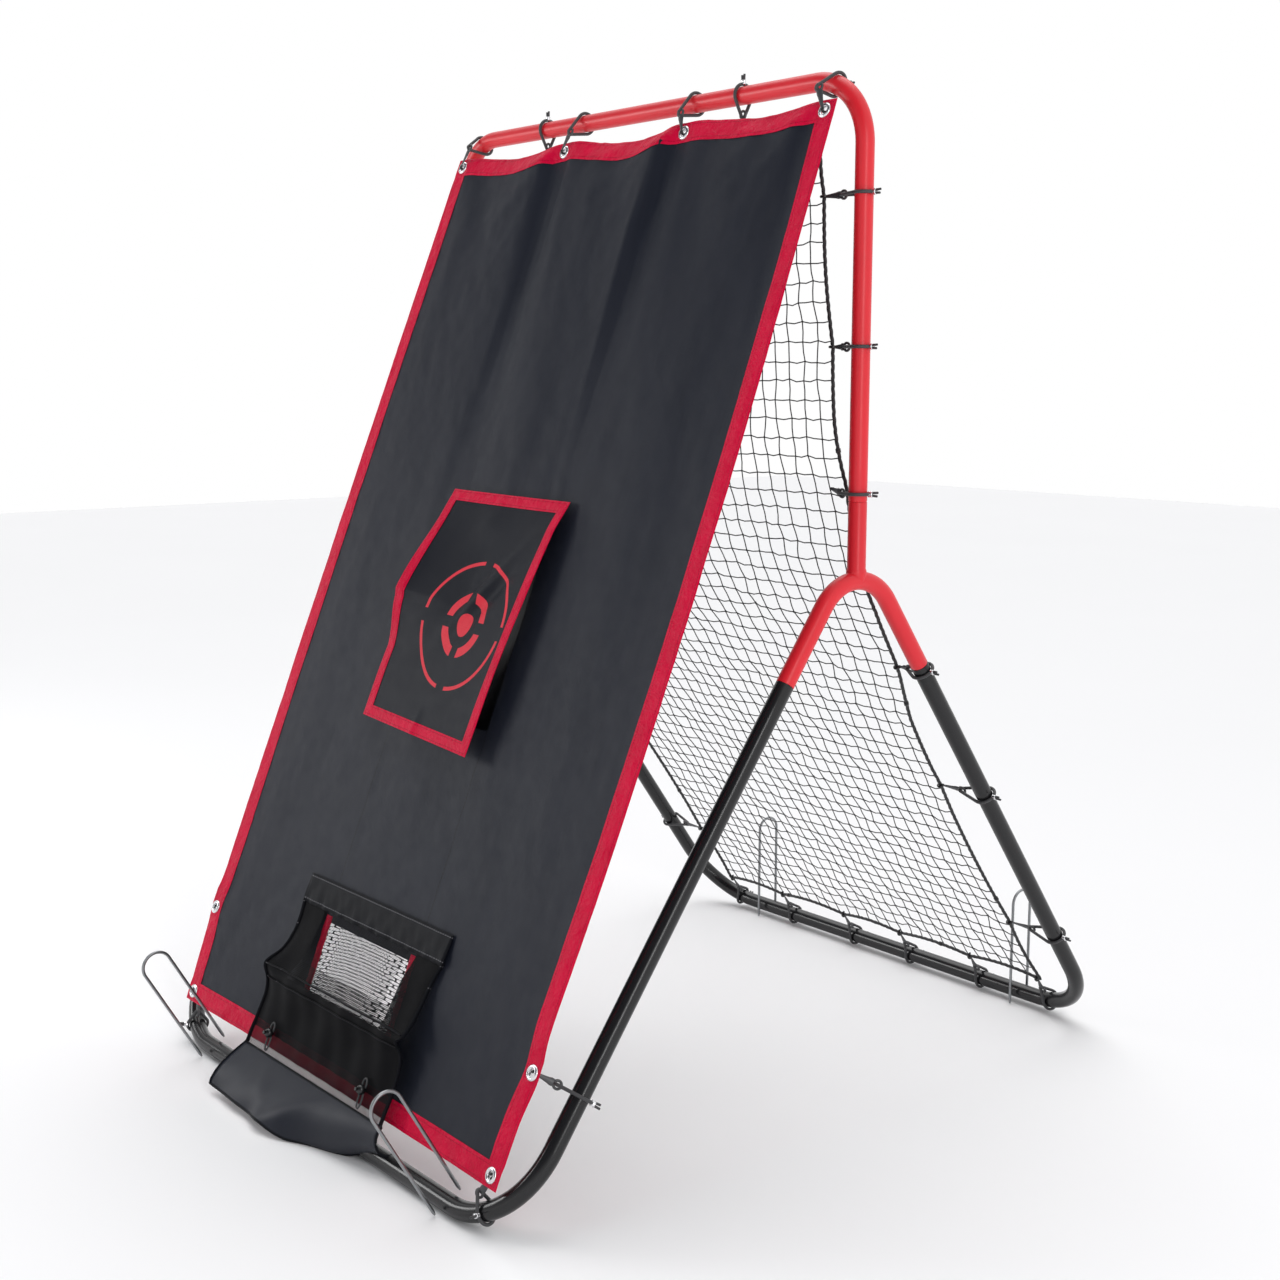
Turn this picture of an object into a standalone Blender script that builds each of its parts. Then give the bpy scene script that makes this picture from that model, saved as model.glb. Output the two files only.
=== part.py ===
"""Pitching target net: a tube A-frame that holds a sloping target banner in front and a ball net behind.

Metres, +Z up, front towards -Y. The pieces are laid out from the post line, the upright plane through
both posts, and one empty then moves them so that the origin lies under the middle of the whole object.
"""

import math

import bmesh
import bpy
from mathutils import Matrix, Vector

# Driving dimensions: the tube frame
TUBE_R = 0.016
WALL = 0.0012
SIDES = 12
HALF_WIDTH = 0.587  # centre line of a post or leg
HALF_DEPTH = 0.735  # centre line of a floor rail
TOP_Z = 1.8105  # centre line of the top bar
LEGS_MEET_Z = 1.046  # where the centre lines of a front and a rear leg would cross
POST_JOINT_Z = 1.112
LEG_JOINT = 0.285  # from the legs' crossing down to the red tube's end
TOP_BEND = 0.11
FORK_BEND = 0.096
FLOOR_BEND = 0.15
SPIGOT_R = 0.0145
SPIGOT_LENGTH = 0.065
POST_LINE_Y = 0.0512  # moves the post line so that the origin is under the middle

# Driving dimensions: what hangs on the frame
CORD_R = 0.003
EYE_R = 0.0045
ROPE_R = 0.0035
BANNER_TOP = 0.05  # distances down the banner count from the top bar's centre line
BANNER_MIDDLE = 1.0
SIDE_TIE = 1.69
BANNER_BOTTOM = 1.878
BANNER_HALF = {BANNER_TOP: 0.555, BANNER_MIDDLE: 0.575, SIDE_TIE: 0.568, BANNER_BOTTOM: 0.545}
BANNER_STAND = 0.018  # its middle surface, in front of the plane from bar to rail
CLOTH = 0.002
GROMMET_R = 0.0135
GROMMET_BORE = 0.0068
PANEL_HALF = 0.186
PANEL_TOP = 0.757
PANEL_LENGTH = 0.478
PANEL_LEAN = math.radians(3)
STRIKE_HALF = 0.15
STRIKE_SPAN = (0.80, 1.20)
OUTLET_HALF = 0.14
OUTLET_SPAN = (1.62, 1.75)
POCKET_HALF = 0.24
CHUTE_HALF = 0.157
FLAP_HALF = 0.245
FLAP_SEAM = (1.882, 0.048)  # down the banner, and how far it stands in front
FLAP_LENGTH = 0.105
FLAP_SLOPE = math.radians(24)
NET_TOP_Z = 1.745

# Driving dimensions: ground stakes and spring buttons
STAKE_R = 0.003
STAKE_HALF = 0.028
STAKE_LENGTH = 0.216  # from the tips to the middle of the arch
FRONT_STAKE_X = 0.42
REAR_STAKE_X = 0.39
FRONT_STAKE_LEAN = math.radians(30)
BUTTON_R = 0.004
BUTTON_HOLE_R = 0.0047
BUTTON_TOP = 0.0195
BUTTON_UP = 0.035  # from a joint to its button

GAP = 0.0003
WRAP_STEP = math.radians(25)
WRAP_R = (TUBE_R + CORD_R + GAP) / math.cos(WRAP_STEP / 2)
FRONT_RAIL_Z = TUBE_R * math.cos(math.pi / SIDES)
REAR_RAIL_Z = WRAP_R + CORD_R  # the rear rail stands on the cords that go round it

# Where cords go round a hoop's bend, by how far round it they are
TOP_TIE_X = HALF_WIDTH - TOP_BEND + TOP_BEND * math.sin(math.radians(22.5))
FRONT_TIE_X = HALF_WIDTH - FLOOR_BEND + FLOOR_BEND * math.sin(math.radians(30))
REAR_TIE_X = HALF_WIDTH - FLOOR_BEND + FLOOR_BEND * math.sin(math.radians(15))

X, Y, Z = Vector((1, 0, 0)), Vector((0, 1, 0)), Vector((0, 0, 1))
FRONT_DOWN = Vector((0, -HALF_DEPTH, FRONT_RAIL_Z - LEGS_MEET_Z)).normalized()
REAR_DOWN = Vector((0, HALF_DEPTH, REAR_RAIL_Z - LEGS_MEET_Z)).normalized()
BANNER_DOWN = Vector((0, -HALF_DEPTH, FRONT_RAIL_Z - TOP_Z)).normalized()
BANNER_OUT = BANNER_DOWN.cross(X)


# Materials


def material(name, colour, roughness, metallic=0.0):
    made = bpy.data.materials.get(name) or bpy.data.materials.new(name)
    made.use_nodes = True
    shader = made.node_tree.nodes["Principled BSDF"]
    shader.inputs["Base Color"].default_value = (*colour, 1)
    shader.inputs["Roughness"].default_value = roughness
    shader.inputs["Metallic"].default_value = metallic
    return made


def red_paint():
    return material("red_paint", (0.72, 0.03, 0.06), 0.3)


def black_paint():
    return material("black_paint", (0.05, 0.05, 0.055), 0.35)


def charcoal_cloth():
    return material("charcoal_cloth", (0.035, 0.036, 0.042), 0.6)


def black_mesh():
    return material("black_mesh", (0.015, 0.015, 0.018), 0.8)


def net_twine():
    return material("net_twine", (0.01, 0.01, 0.01), 0.8)


def grey_elastic():
    return material("grey_elastic", (0.08, 0.08, 0.085), 0.7)


def bright_steel():
    return material("bright_steel", (0.7, 0.7, 0.72), 0.25, 1.0)


def zinc_steel():
    return material("zinc_steel", (0.3, 0.3, 0.31), 0.35, 1.0)


def black_plastic():
    return material("black_plastic", (0.01, 0.01, 0.01), 0.3)


# Mesh building


def clear_scene():
    for thing in list(bpy.data.objects):
        bpy.data.objects.remove(thing, do_unlink=True)


def as_object(name, mesh):
    thing = bpy.data.objects.new(name, mesh)
    bpy.context.scene.collection.objects.link(thing)
    return thing


def node(name, mesh, finish, origin=(0, 0, 0)):
    """A finished piece under the assembly's empty, its mesh counted from origin."""
    thing = as_object(name, mesh)
    thing.parent = bpy.data.objects["assembly"]
    thing.location = origin
    mesh.materials.append(finish)
    mesh.shade_smooth()
    mesh.set_sharp_from_angle(angle=math.radians(40))
    return thing


def finished(name, bm):
    bmesh.ops.recalc_face_normals(bm, faces=bm.faces)
    if bm.calc_volume(signed=True) < 0:
        bmesh.ops.reverse_faces(bm, faces=bm.faces)
    mesh = bpy.data.meshes.new(name)
    bm.to_mesh(mesh)
    bm.free()
    return mesh


def combined(name, base, tools, operation):
    """The base mesh after a Boolean with each tool mesh in turn."""
    target = as_object(name, base)
    helpers = [as_object(f"{name}_tool", tool) for tool in tools]
    for helper in helpers:
        step = target.modifiers.new("step", "BOOLEAN")
        step.operation = operation
        step.solver = "EXACT"
        step.object = helper
    graph = bpy.context.evaluated_depsgraph_get()
    result = bpy.data.meshes.new_from_object(target.evaluated_get(graph))
    for helper in (target, *helpers):
        bpy.data.objects.remove(helper, do_unlink=True)
    return result


def ring(point, direction, normal, radius, sides, turn):
    across = direction.cross(normal).normalized()
    angles = [turn + 2 * math.pi * k / sides for k in range(sides)]
    return [point + radius * (math.cos(a) * normal + math.sin(a) * across) for a in angles]


def loft(name, rings, closed=False):
    """Rings of equal length skinned in order, joined end to start if closed and capped if not."""
    bm = bmesh.new()
    made = [[bm.verts.new(point) for point in one] for one in rings]
    pairs = list(zip(made, made[1:])) + ([(made[-1], made[0])] if closed else [])
    for one, two in pairs:
        for k in range(len(one)):
            after = (k + 1) % len(one)
            bm.faces.new((one[k], one[after], two[after], two[k]))
    if not closed:
        bm.faces.new(made[0])
        bm.faces.new(made[-1])
    return finished(name, bm)


def prism(name, outline, reach):
    """A closed outline of points pushed along the vector reach."""
    return loft(name, [outline, [point + reach for point in outline]])


def turned(name, base, axis, normal, profile, sides):
    """A solid of rings about an axis; profile lists (distance along it, radius)."""
    return loft(name, [ring(base + axis * h, axis, normal, r, sides, 0) for h, r in profile])


def rounded_path(corners, bend, steps):
    """Stations (point, direction) along straight runs that arcs of radius bend join."""
    stations = [(corners[0], (corners[1] - corners[0]).normalized())]
    for before, corner, after in zip(corners, corners[1:], corners[2:]):
        into, out = (corner - before).normalized(), (after - corner).normalized()
        turn, axis = into.angle(out), into.cross(out).normalized()
        start = corner - into * (bend * math.tan(turn / 2))
        centre = start + axis.cross(into) * bend
        for step in range(steps + 1):
            spin = Matrix.Rotation(turn * step / steps, 3, axis)
            stations.append((centre + spin @ (start - centre), spin @ into))
    stations.append((corners[-1], (corners[-1] - corners[-2]).normalized()))
    return stations


def drawn_down(stations, radius, neck_r, neck_length):
    """Stations with a radius each, narrower for neck_length at both ends."""
    (first, ahead), (last, onward) = stations[0], stations[-1]
    step_in, step_out = first + ahead * neck_length, last - onward * neck_length
    return [
        (first, ahead, neck_r),
        (step_in, ahead, neck_r),
        (step_in, ahead, radius),
        *[(point, direction, radius) for point, direction in stations[1:-1]],
        (step_out, onward, radius),
        (step_out, onward, neck_r),
        (last, onward, neck_r),
    ]


def tube_wall(name, outer, inner, normal, turn):
    """A tube that is open at both ends, from its outer and inner (point, direction, radius) lists."""
    rings = [ring(p, d, normal, r, SIDES, turn) for p, d, r in outer]
    rings += [ring(p, d, normal, r, SIDES, turn) for p, d, r in reversed(inner)]
    return loft(name, rings, closed=True)


def flat_down_turn():
    """The profile's turn that puts a flat of the floor rail level with the ground."""
    lean = math.acos(-FRONT_DOWN.y)
    return -lean - math.pi / SIDES


def button_hole(name, centre, outward, along):
    """A cutter through one wall of a tube, from its axis outwards."""
    reach = TUBE_R + 0.004
    profile = [(0, BUTTON_HOLE_R), (reach, BUTTON_HOLE_R)]
    return turned(name, centre + outward * 0.006, outward, along, profile, 10)


# The frame's joints: where each spring button sits, as (name, point on the tube's axis, outward, along)


def leg_button_places():
    places = []
    for side, side_name in ((-1, "left"), (1, "right")):
        for down, row_name in ((FRONT_DOWN, "front"), (REAR_DOWN, "rear")):
            centre = leg_point(side, down, LEG_JOINT - BUTTON_UP)
            places.append((f"leg_button_{row_name}_{side_name}", centre, -side * X, down))
    return places


def post_button_places():
    places = []
    for side, side_name in ((-1, "left"), (1, "right")):
        centre = Vector((side * HALF_WIDTH, 0, POST_JOINT_Z + BUTTON_UP))
        places.append((f"post_button_{side_name}", centre, Y, Z))
    return places


def leg_point(side, down, distance):
    """A point on a leg's centre line, by its distance from where the legs would cross."""
    return Vector((side * HALF_WIDTH, 0, LEGS_MEET_Z)) + down * distance


# The frame's tubes


def top_hoop():
    corners = [
        Vector((-HALF_WIDTH, 0, POST_JOINT_Z + GAP)),
        Vector((-HALF_WIDTH, 0, TOP_Z)),
        Vector((HALF_WIDTH, 0, TOP_Z)),
        Vector((HALF_WIDTH, 0, POST_JOINT_Z + GAP)),
    ]
    stations = rounded_path(corners, TOP_BEND, 8)
    outer = [(p, d, TUBE_R) for p, d in stations]
    inner = [(p, d, TUBE_R - WALL) for p, d in stations]
    hoop = tube_wall("top_hoop", outer, inner, Y, math.pi / SIDES)
    holes = [button_hole(name, at, out, along) for name, at, out, along in post_button_places()]
    node("top_hoop", combined("top_hoop", hoop, holes, "DIFFERENCE"), red_paint())


def fork(side, name):
    """The bent upper legs of one side, with the stub and spigot that the post slides over."""
    ends = [leg_point(side, FRONT_DOWN, LEG_JOINT - GAP), leg_point(side, REAR_DOWN, LEG_JOINT - GAP)]
    ends = ends if side > 0 else ends[::-1]
    stations = rounded_path([ends[0], leg_point(side, Z, 0), ends[1]], FORK_BEND, 8)
    turn, plane = flat_down_turn(), -side * X
    apex = Vector((side * HALF_WIDTH, 0, stations[5][0].z))
    stub = POST_JOINT_Z - apex.z

    def bent(radius, past):
        rings = [ring(p, d, plane, radius, SIDES, turn) for p, d in stations]
        first, last = stations[0], stations[-1]
        rings[0] = ring(first[0] - first[1] * past, first[1], plane, radius, SIDES, turn)
        rings[-1] = ring(last[0] + last[1] * past, last[1], plane, radius, SIDES, turn)
        return loft(name, rings)

    def stem(start, step, radius, neck_r, past):
        heights = ((start, radius), (step, radius), (step, neck_r), (stub + SPIGOT_LENGTH + past, neck_r))
        return loft(name, [ring(apex + Z * h, Z, Y, r, SIDES, math.pi / SIDES) for h, r in heights])

    step_up = 0.002
    bore, neck_bore = TUBE_R - WALL, SPIGOT_R - WALL
    body = combined(name, bent(TUBE_R, 0), [stem(0.001, stub, TUBE_R, SPIGOT_R, 0)], "UNION")
    stub_bore = stem(-0.001, stub - step_up, bore, neck_bore, 0.001)
    hollow = combined(name, bent(bore, 0.001), [stub_bore], "UNION")
    places = [p for p in leg_button_places() + post_button_places() if p[1].x * side > 0]
    holes = [button_hole(tool, at, out, along) for tool, at, out, along in places]
    node(name, combined(name, body, [hollow, *holes], "DIFFERENCE"), red_paint())


def floor_hoop(name, down, rail_z):
    """A floor rail and its two lower legs in one bent tube, with a spigot at each top."""
    front = down.y < 0
    order = (-1, 1) if front else (1, -1)
    rail_y = math.copysign(HALF_DEPTH, down.y)
    tops = [leg_point(side, down, LEG_JOINT - SPIGOT_LENGTH) for side in order]
    bottoms = [Vector((side * HALF_WIDTH, rail_y, rail_z)) for side in order]
    stations = rounded_path([tops[0], bottoms[0], bottoms[1], tops[1]], FLOOR_BEND, 6)
    normal = -down.cross(X) if front else down.cross(X)
    step_in = 0.002
    outer = drawn_down(stations, TUBE_R, SPIGOT_R, SPIGOT_LENGTH)
    inner = drawn_down(stations, TUBE_R - WALL, SPIGOT_R - WALL, SPIGOT_LENGTH + step_in)
    hoop = tube_wall(name, outer, inner, normal, flat_down_turn())
    places = [p for p in leg_button_places() if (p[1].y < 0) == front]
    holes = [button_hole(tool, at, out, along) for tool, at, out, along in places]
    node(name, combined(name, hoop, holes, "DIFFERENCE"), black_paint())


def spring_button(name, centre, outward, along):
    """A button on the arm of its leaf spring; its origin is on the line that it is pressed along."""
    start = 0.0072
    profile = [(start, BUTTON_R), (BUTTON_TOP - 0.0015, BUTTON_R)]
    profile += [(BUTTON_TOP - 0.0003, 0.0026), (BUTTON_TOP, 0.001)]
    button = turned(name, Vector(), outward, along, profile, 10)
    across = outward.cross(along).normalized()
    half_width, length, leaf = 0.0038, 0.045, 0.0008
    foot = outward * (start - 0.0004)
    corners = [(-0.006, -1), (-0.006, 1), (length, 1), (length, -1)]
    outline = [foot - along * a + across * (half_width * b) for a, b in corners]
    arm = prism(name, outline, outward * leaf)
    node(name, combined(name, button, [arm], "UNION"), bright_steel(), centre)


# Banner, target panel and ball return


def on_banner(x, down, stand):
    """A point by its place across and down the banner, and how far in front of the bar-to-rail plane."""
    return Z * TOP_Z + X * x + BANNER_DOWN * down + BANNER_OUT * stand


def block(name, half, span, low, high):
    """A box in the banner's own directions."""
    outline = [(-half, span[0]), (half, span[0]), (half, span[1]), (-half, span[1])]
    return prism(name, [on_banner(x, s, low) for x, s in outline], BANNER_OUT * (high - low))


def grommet_places():
    """Name, place across and place down the banner of each grommet."""
    places = []
    for k, x in enumerate((-0.535, -0.18, 0.18, 0.535)):
        places.append((f"grommet_top_{k + 1}", x, 0.068))
    for side, side_name in ((-1, "left"), (1, "right")):
        places.append((f"grommet_side_{side_name}", side * 0.548, SIDE_TIE))
        places.append((f"grommet_corner_{side_name}", side * 0.525, 1.86))
    return places


def banner():
    right = [(half, down) for down, half in BANNER_HALF.items()]
    outline = right + [(-half, down) for half, down in reversed(right)]
    low = BANNER_STAND - CLOTH / 2
    sheet = prism("banner", [on_banner(x, s, low) for x, s in outline], BANNER_OUT * CLOTH)
    past = 0.01
    cutters = [
        block("cut", STRIKE_HALF, STRIKE_SPAN, low - past, low + CLOTH + past),
        block("cut", OUTLET_HALF, OUTLET_SPAN, low - past, low + CLOTH + past),
    ]
    for _, x, down in grommet_places():
        hole = [(-past, GROMMET_BORE + 0.0018), (past, GROMMET_BORE + 0.0018)]
        cutters.append(turned("cut", on_banner(x, down, BANNER_STAND), BANNER_OUT, X, hole, 10))
    node("banner", combined("banner", sheet, cutters, "DIFFERENCE"), charcoal_cloth())


def grommet(name, x, down):
    """A metal eyelet: a barrel through the cloth with a flange on each face."""
    under = CLOTH / 2 + GAP
    over = under + 0.001
    flange, barrel = GROMMET_R, GROMMET_BORE + 0.001
    section = [(-over, flange), (-under, flange), (-under, barrel)]
    section += [(under, barrel), (under, flange), (over, flange)]
    section += [(over, GROMMET_BORE), (-over, GROMMET_BORE)]
    base = on_banner(x, down, BANNER_STAND)
    rings = [ring(base + BANNER_OUT * h, BANNER_OUT, X, r, 10, 0) for h, r in section]
    node(name, loft(name, rings, closed=True), bright_steel())


def strike_panel():
    """The target flap, hung from its top seam; its origin is on the seam."""
    seam = on_banner(0, PANEL_TOP, BANNER_STAND + CLOTH / 2 + 0.003)
    spin = Matrix.Rotation(-PANEL_LEAN, 3, X)
    down, out = spin @ BANNER_DOWN, spin @ BANNER_OUT
    outline = [(-1, 0), (1, 0), (1, PANEL_LENGTH), (-1, PANEL_LENGTH)]
    points = [X * (PANEL_HALF * x) + down * s - out * (CLOTH / 2) for x, s in outline]
    node("strike_panel", prism("strike_panel", points, out * CLOTH), charcoal_cloth(), seam)


def shell_on_banner(name, half, profile, inner_half, inner_profile):
    """A sewn pocket: a profile of (down, stand) points across the banner, hollowed by a smaller one."""
    outer = prism(name, [on_banner(-half, s, d) for s, d in profile], X * (2 * half))
    inner = prism(name, [on_banner(-inner_half, s, d) for s, d in inner_profile], X * (2 * inner_half))
    return combined(name, outer, [inner], "DIFFERENCE")


def return_pocket():
    """The ball return's mesh front, open towards the banner's outlet."""
    face = BANNER_STAND + CLOTH / 2 + GAP
    outside = [(1.555, face), (1.555, 0.023), (1.62, 0.031), (1.70, 0.05), (1.76, 0.066)]
    outside += [(1.82, 0.063), (1.872, 0.046), (1.872, face)]
    inside = [(1.60, 0.01), (1.60, 0.0265), (1.62, 0.0285), (1.70, 0.0472), (1.76, 0.063)]
    inside += [(1.819, 0.0602), (1.868, 0.0442), (1.868, 0.01)]
    skin = 0.0025
    mesh = shell_on_banner("return_pocket", POCKET_HALF, outside, POCKET_HALF - skin, inside)
    node("return_pocket", mesh, black_mesh())


def ball_chute():
    """The channel sewn behind the banner, from the strike opening down to the outlet."""
    back = BANNER_STAND - CLOTH / 2 - GAP
    outside = [(0.775, back), (1.81, back), (1.80, -0.02), (1.70, -0.085), (0.82, -0.085)]
    inside = [(0.778, 0.03), (1.807, 0.03), (1.797, -0.0185), (1.6985, -0.0825), (0.8215, -0.0825)]
    skin = 0.0025
    mesh = shell_on_banner("ball_chute", CHUTE_HALF, outside, CHUTE_HALF - skin, inside)
    node("ball_chute", mesh, black_mesh())


def return_flap():
    """The cloth apron over the front rail; its origin is on the seam that it folds up about."""
    seam = on_banner(0, *FLAP_SEAM)
    ahead = Vector((0, -math.cos(FLAP_SLOPE), -math.sin(FLAP_SLOPE)))
    up = ahead.cross(X)
    first = 0.002
    outline = [(-1, first), (1, first), (1, FLAP_LENGTH), (-1, FLAP_LENGTH)]
    points = [X * (FLAP_HALF * x) + ahead * a - up * (CLOTH / 2) for x, a in outline]
    node("return_flap", prism("return_flap", points, up * CLOTH), charcoal_cloth(), seam)


def return_toggle(name, x):
    """A ball toggle that closes the apron."""
    centre = on_banner(x, 1.85, 0.063)
    radius, rows = 0.008, 6
    angles = [math.pi * (k + 0.5) / rows for k in range(rows)]
    profile = [(-radius * math.cos(a), radius * math.sin(a)) for a in angles]
    node(name, turned(name, centre, Z, X, profile, 8), black_plastic())


# Net


def net_rows():
    """Each row of the net's edge, top to bottom: (point on the middle line, half width, surface normal)."""
    upper = [(NET_TOP_Z, 0.488), (1.62, 0.495), (1.5, 0.508), (1.37, 0.522), (1.25, 0.535), (1.14, 0.55)]
    lower = [(0.17, 0.548), (0.33, 0.522), (0.44, 0.497), (0.57, 0.482)]
    lower += [(0.70, 0.476), (0.92, 0.473), (1.187, 0.478)]
    slope = X.cross(REAR_DOWN)
    rows = [(Z * z, half, Y) for z, half in upper]
    rows.append((Z * LEGS_MEET_Z, 0.556, (Y + slope).normalized()))
    rows += [(Z * LEGS_MEET_Z + REAR_DOWN * t, half, slope) for t, half in lower]
    return rows


def net():
    """The knotted net as one thin bent sheet, inside its border rope."""
    inset, half_thick = ROPE_R + 0.001, 0.002
    rows = net_rows()
    sections = []
    for k, (middle, half, normal) in enumerate(rows):
        if k in (0, len(rows) - 1):
            away = rows[1][0] - middle if k == 0 else rows[-2][0] - middle
            middle = middle + away.normalized() * inset
        reach, lift = X * (half - inset), normal * half_thick
        near, far = middle - lift, middle + lift
        sections.append([near - reach, near + reach, far + reach, far - reach])
    node("net", loft("net", sections), net_twine())


def net_border_rope():
    """The rope round the net's edge, one closed loop."""
    rows = net_rows()
    right = [(middle + X * half, normal) for middle, half, normal in rows]
    left = [(middle - X * half, normal) for middle, half, normal in reversed(rows)]
    loop = right + left
    rings = []
    for k, (point, normal) in enumerate(loop):
        before, after = loop[k - 1][0], loop[(k + 1) % len(loop)][0]
        along = (after - point).normalized() + (point - before).normalized()
        along = (along - normal * along.dot(normal)).normalized()
        rings.append(ring(point, along, normal, ROPE_R, 6, 0))
    node("net_border_rope", loft("net_border_rope", rings, closed=True), net_twine())


# Bungees: a cord loop round the tube, its crimp, and the hook that it pulls on


def cord_loop(name, centre, toward, across, eye_distance):
    """A closed cord round a tube at centre and through the hook's eye, in the plane of toward and across."""
    contact = math.acos((WRAP_R - EYE_R) / eye_distance)
    wrap = 2 * (math.pi - contact)
    steps = math.ceil(wrap / WRAP_STEP)
    path = [(centre, WRAP_R, contact + wrap * k / steps) for k in range(steps + 1)]
    eye = centre + toward * eye_distance
    path += [(eye, EYE_R, contact * (k - 2) / 2) for k in range(5)]
    normal = toward.cross(across)
    rings = []
    for middle, radius, angle in path:
        spoke = toward * math.cos(angle) + across * math.sin(angle)
        along = across * math.cos(angle) - toward * math.sin(angle)
        rings.append(ring(middle + spoke * radius, along, normal, CORD_R, 5, 0))
    return loft(name, rings, closed=True)


def crimp(name, centre, outward, normal):
    """The metal crimp that closes the loop, and the two cord ends past it."""
    near = WRAP_R - 0.0015
    profile = [(near, 0.0055), (near + 0.008, 0.0055), (near + 0.008, 0.0036), (near + 0.018, 0.0036)]
    return turned(name, centre, outward, normal, profile, 6)


def hook_plate(name, eye, tip, width_way):
    """The flat hook: round at its eye and narrow at its tip."""
    along = (tip - eye).normalized()
    width_way = (width_way - along * width_way.dot(along)).normalized()
    thick = along.cross(width_way) * 0.003
    length = (tip - eye).length
    half = [(-0.0075, 0.0045), (0, 0.0085), (0.008, 0.007), (length * 0.65, 0.0035), (length, 0.0028)]
    one_side = [eye + along * a + width_way * w for a, w in half]
    other_side = [eye + along * a - width_way * w for a, w in reversed(half)]
    return prism(name, [point - thick / 2 for point in one_side + other_side], thick)


def bungee(name, centre, axis, eye, tip, crimp_way=None, peg=None):
    """One bungee round the tube whose centre line passes through centre along axis."""
    eye = eye - axis * (eye - centre).dot(axis)
    toward = (eye - centre).normalized()
    loop = cord_loop(name, centre, toward, axis.cross(toward), (eye - centre).length)
    tools = [crimp(name, centre, crimp_way or -toward, axis), hook_plate(name, eye, tip, axis)]
    if peg is not None:
        side = peg.cross(X).normalized()
        half = 0.002
        corners = [(-1, -1), (1, -1), (1, 1), (-1, 1)]
        outline = [tip + X * (half * a) + side * (half * b - 0.001) for a, b in corners]
        tools.append(prism(name, outline, peg))
    node(name, combined(name, loop, tools, "UNION"), grey_elastic())


def hoop_at(corners, bend, x):
    """The point and direction of a hoop's centre line at x, on its bar or in the bend next to it."""
    middle = (corners[1] + corners[2]) / 2
    up = (corners[0] - corners[1]).normalized()
    past = abs(x) - (HALF_WIDTH - bend)
    if past <= 0:
        return middle + X * x, X.copy()
    angle = math.asin(past / bend)
    rise = bend * (1 - math.cos(angle))
    return middle + X * x + up * rise, X * math.cos(angle) + up * math.copysign(math.sin(angle), x)


def hoop_corners(down, rail_y, rail_z):
    tops = [leg_point(side, down, LEG_JOINT) for side in (-1, 1)]
    return [tops[0], Vector((-HALF_WIDTH, rail_y, rail_z)), Vector((HALF_WIDTH, rail_y, rail_z)), tops[1]]


def top_bar_corners():
    low, high = POST_JOINT_Z, TOP_Z
    return [Vector((x * HALF_WIDTH, 0, z)) for x, z in ((-1, low), (-1, high), (1, high), (1, low))]


def along_leg(side, down, point):
    """The point on a leg's centre line that is level with another point, measured along the leg."""
    top = leg_point(side, down, 0)
    return top + down * (point - top).dot(down)


def banner_bungees():
    through = 0.0095
    front = BANNER_STAND + 0.0065
    behind = BANNER_STAND - 0.0065
    tops = [place for place in grommet_places() if "top" in place[0]]
    for k, bar_x in enumerate((-TOP_TIE_X, -0.165, 0.165, TOP_TIE_X)):
        _, x, down = tops[k]
        centre, axis = hoop_at(top_bar_corners(), TOP_BEND, bar_x)
        eye = on_banner(bar_x + 0.25 * (x - bar_x), 0.032, 0.028)
        tip = on_banner(x, down, front)
        bungee(f"bungee_banner_top_{k + 1}", centre, axis, eye, tip, peg=-BANNER_OUT * through)
    floor = hoop_corners(FRONT_DOWN, -HALF_DEPTH, FRONT_RAIL_Z)
    for side, side_name in ((-1, "left"), (1, "right")):
        centre, axis = hoop_at(floor, FLOOR_BEND, side * FRONT_TIE_X)
        eye = on_banner(side * 0.517, 1.887, 0.0075)
        tip = on_banner(side * 0.525, 1.86, behind)
        name = f"bungee_banner_corner_{side_name}"
        bungee(name, centre, axis, eye, tip, perpendicular(-Y, axis), BANNER_OUT * through)
        tip = on_banner(side * 0.548, SIDE_TIE, behind)
        centre = along_leg(side, FRONT_DOWN, tip)
        eye = centre + (tip - centre) * 0.52
        bungee(f"bungee_banner_side_{side_name}", centre, FRONT_DOWN, eye, tip, peg=BANNER_OUT * through)


def perpendicular(vector, axis):
    return (vector - axis * vector.dot(axis)).normalized()


def net_bungee(name, centre, axis, edge, eye_share, crimp_way=None):
    """A bungee whose hook stops just short of the border rope at edge."""
    eye = centre + (edge - centre) * eye_share
    tip = edge - (edge - eye).normalized() * (ROPE_R + 0.0008)
    bungee(name, centre, axis, eye, tip, crimp_way)


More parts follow.
